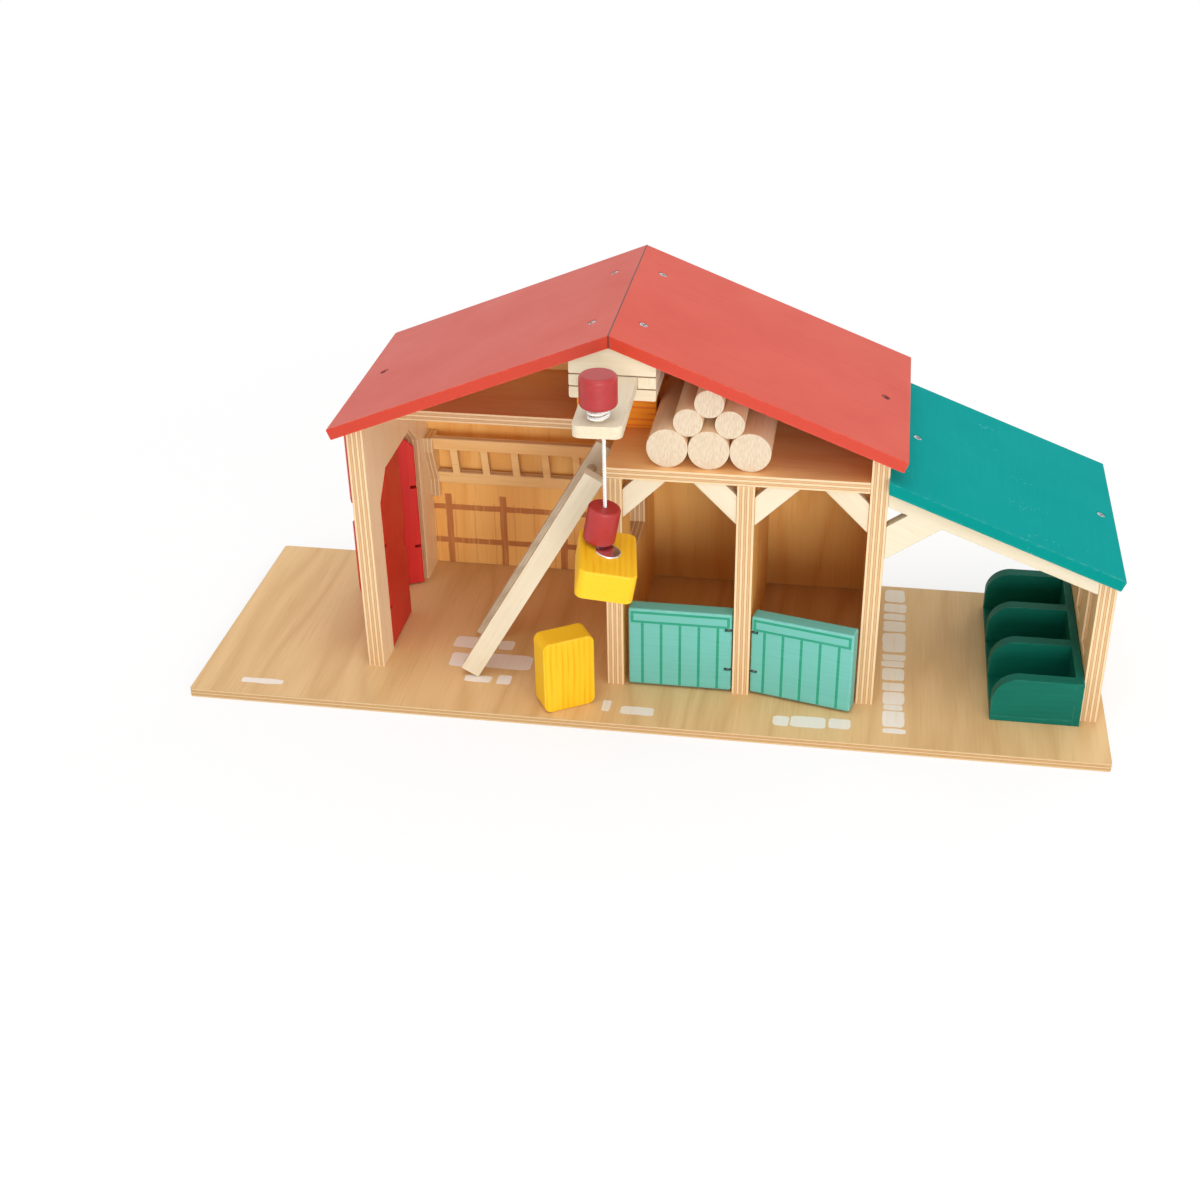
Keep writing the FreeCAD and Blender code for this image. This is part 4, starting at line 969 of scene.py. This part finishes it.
def cordFibre():
    # the outer side of each strand is bright, the grooves between them are in shade
    surface = newSurface("cordWhite")
    outer = surface.node("ShaderNodeAttribute", {"attribute_name": "twist"}, {}, "Fac")
    fluff = surface.noise(surface.objectPlace(), cordSettings["fluffScale"], *coarseNoise)
    bright = outer * cordSettings["outerShare"] + fluff * cordSettings["fluffShare"]
    color = surface.mix(bright.ramp(*cordSettings["bright"]), cordSettings["shade"], cordSettings["white"])
    return surface.finish(color=color, rough=cordSettings["rough"], specular=cordSettings["specular"],
                          normal=surface.bump(fluff, *cordSettings["bump"]))


cordWhite = cordFibre()
spindle, hole = Vector(cordSettings["spindle"]), Vector(cordSettings["hole"])
away = hole - spindle
# the cord leaves the winding on the tangent that runs to the hole in the beam
touch = math.atan2(away.y, away.x) + math.acos(cordSettings["radius"] / away.length)
toTouch = spindle + Vector((math.cos(touch), math.sin(touch))) * cordSettings["radius"]
way = Vector((-math.sin(touch), math.cos(touch), 0))
start = toTouch.to_3d() + Vector((0, 0, cordSettings["level"])) - way * cordSettings["diameter"]
overHole = Vector((hole.x, hole.y, cordSettings["level"]))

coil = [start]
reach = cordSettings["radius"] / math.cos(math.pi / cordSettings["perTurn"])
for index in range(int(cordSettings["turns"] * cordSettings["perTurn"]) + 1):
    angle = touch + 2 * math.pi * index / cordSettings["perTurn"]
    height = cordSettings["level"] + cordSettings["rise"] * index / cordSettings["perTurn"]
    coil.append(Vector((spindle.x + reach * math.cos(angle), spindle.y + reach * math.sin(angle), height)))
coil.append(coil[-1] + (coil[-1] - coil[-2]).normalized() * cordSettings["diameter"])
line, length = splinePoints("windingLine", coil)
winding = twistedCord("windingCord", line, length)
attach(winding, "winch")
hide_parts("cord_winding")
print("winding: %.1f mm" % (1000 * length))

route = [start, overHole + way * cordSettings["bend"], overHole,
         overHole - Vector((0, 0, cordSettings["bend"])), Vector((hole.x, hole.y, cordSettings["end"]))]
line, length = splinePoints("hoistLine", route)
hoist = twistedCord("hoistCord", line, length)
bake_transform(hoist)
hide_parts("cord_lead", "cord_drop")
print("hoist cord: %.1f mm" % (1000 * length))


# Stage

cameraSettings = {"place": (0.1367, -0.9753, 0.6288), "pitch": 30.83, "yaw": -10.09, "roll": -1.15,
                  "focalPixels": 1676.7, "framePixels": 1200, "sensor": 36}


def makeCamera():
    data = bpy.data.cameras.new("camera")
    data.sensor_fit = "HORIZONTAL"
    data.sensor_width = cameraSettings["sensor"]
    data.lens = data.sensor_width * cameraSettings["focalPixels"] / cameraSettings["framePixels"]
    pitch, yaw, roll = (math.radians(cameraSettings[key]) for key in ("pitch", "yaw", "roll"))
    ahead = Vector((math.sin(yaw) * math.cos(pitch), math.cos(yaw) * math.cos(pitch), -math.sin(pitch)))
    right = Vector((math.cos(yaw), -math.sin(yaw), 0))
    up = right.cross(ahead)
    right, up = right * math.cos(roll) + up * math.sin(roll), up * math.cos(roll) - right * math.sin(roll)
    turn = Matrix((right, up, -ahead)).transposed().to_4x4()
    camera = bpy.data.objects.new("camera", data)
    camera.matrix_world = Matrix.Translation(cameraSettings["place"]) @ turn
    bpy.context.scene.collection.objects.link(camera)
    bpy.context.scene.camera = camera


# place in metres, size and watts; the lamp behind lights the lean-to and isn't mirrored in the roofs
lampSettings = {"key": ((1.0, -1.7, 0.5), 1.0, 9), "fill": ((0.35, -1.95, 0.3), 0.7, 13),
                "top": ((0.1, -0.6, 2.0), 1.4, 13), "back": ((0.9, 1.5, 0.5), 0.8, 8)}
lightSettings = {"aim": (0, 0, 0.08), "unmirrored": "back", "world": 0.72, "white": (1, 1, 1, 1)}


def makeLights():
    for name, (place, size, watts) in lampSettings.items():
        data = bpy.data.lights.new(name, "AREA")
        data.size = size
        data.energy = watts
        lamp = bpy.data.objects.new(name, data)
        lamp.location = place
        lamp.visible_glossy = name != lightSettings["unmirrored"]
        gaze = Vector(lightSettings["aim"]) - lamp.location
        lamp.rotation_euler = gaze.to_track_quat("-Z", "Y").to_euler()
        bpy.context.scene.collection.objects.link(lamp)
    sky = Surface(bpy.data.worlds.new("studio"), "Background")
    sky.feed(sky.shader.inputs["Color"], lightSettings["white"])
    strength = sky.seen() * (1 - lightSettings["world"]) + lightSettings["world"]
    sky.feed(sky.shader.inputs["Strength"], strength)
    bpy.context.scene.world = sky.owner


floorSettings = {"reach": 30, "paper": rgb(250, 250, 250), "glow": 0.7, "fade": (0.4, 0.78), "rough": 0.9,
                 "specular": 0.1}


def makeFloor():
    # white paper that shows the shadow near the object and fades to plain white further out
    reach = floorSettings["reach"]
    corners = [(-reach, -reach, 0), (reach, -reach, 0), (reach, reach, 0), (-reach, reach, 0)]
    mesh = bpy.data.meshes.new("floor")
    mesh.from_pydata(corners, [], [(0, 1, 2, 3)])
    floor = bpy.data.objects.new("floor", mesh)
    surface = newSurface("floorPaper")
    surface.finish(color=floorSettings["paper"], rough=floorSettings["rough"],
                   specular=floorSettings["specular"])
    x, y, z = surface.parts(surface.objectPlace())
    away = (x * x + y * y) ** 0.5
    glow = away.ramp(*floorSettings["fade"]) * (1 - floorSettings["glow"]) + floorSettings["glow"]
    white = surface.node("ShaderNodeEmission", {}, {"Strength": 1.0})
    surface.blend(surface.seen() * glow, white)
    mesh.materials.append(surface.owner)
    bpy.context.scene.collection.objects.link(floor)


makeCamera()
makeLights()
makeFloor()
print("stage: camera,", len(lampSettings), "lamps and floor")
bpy.context.scene.view_settings.view_transform = "Standard"
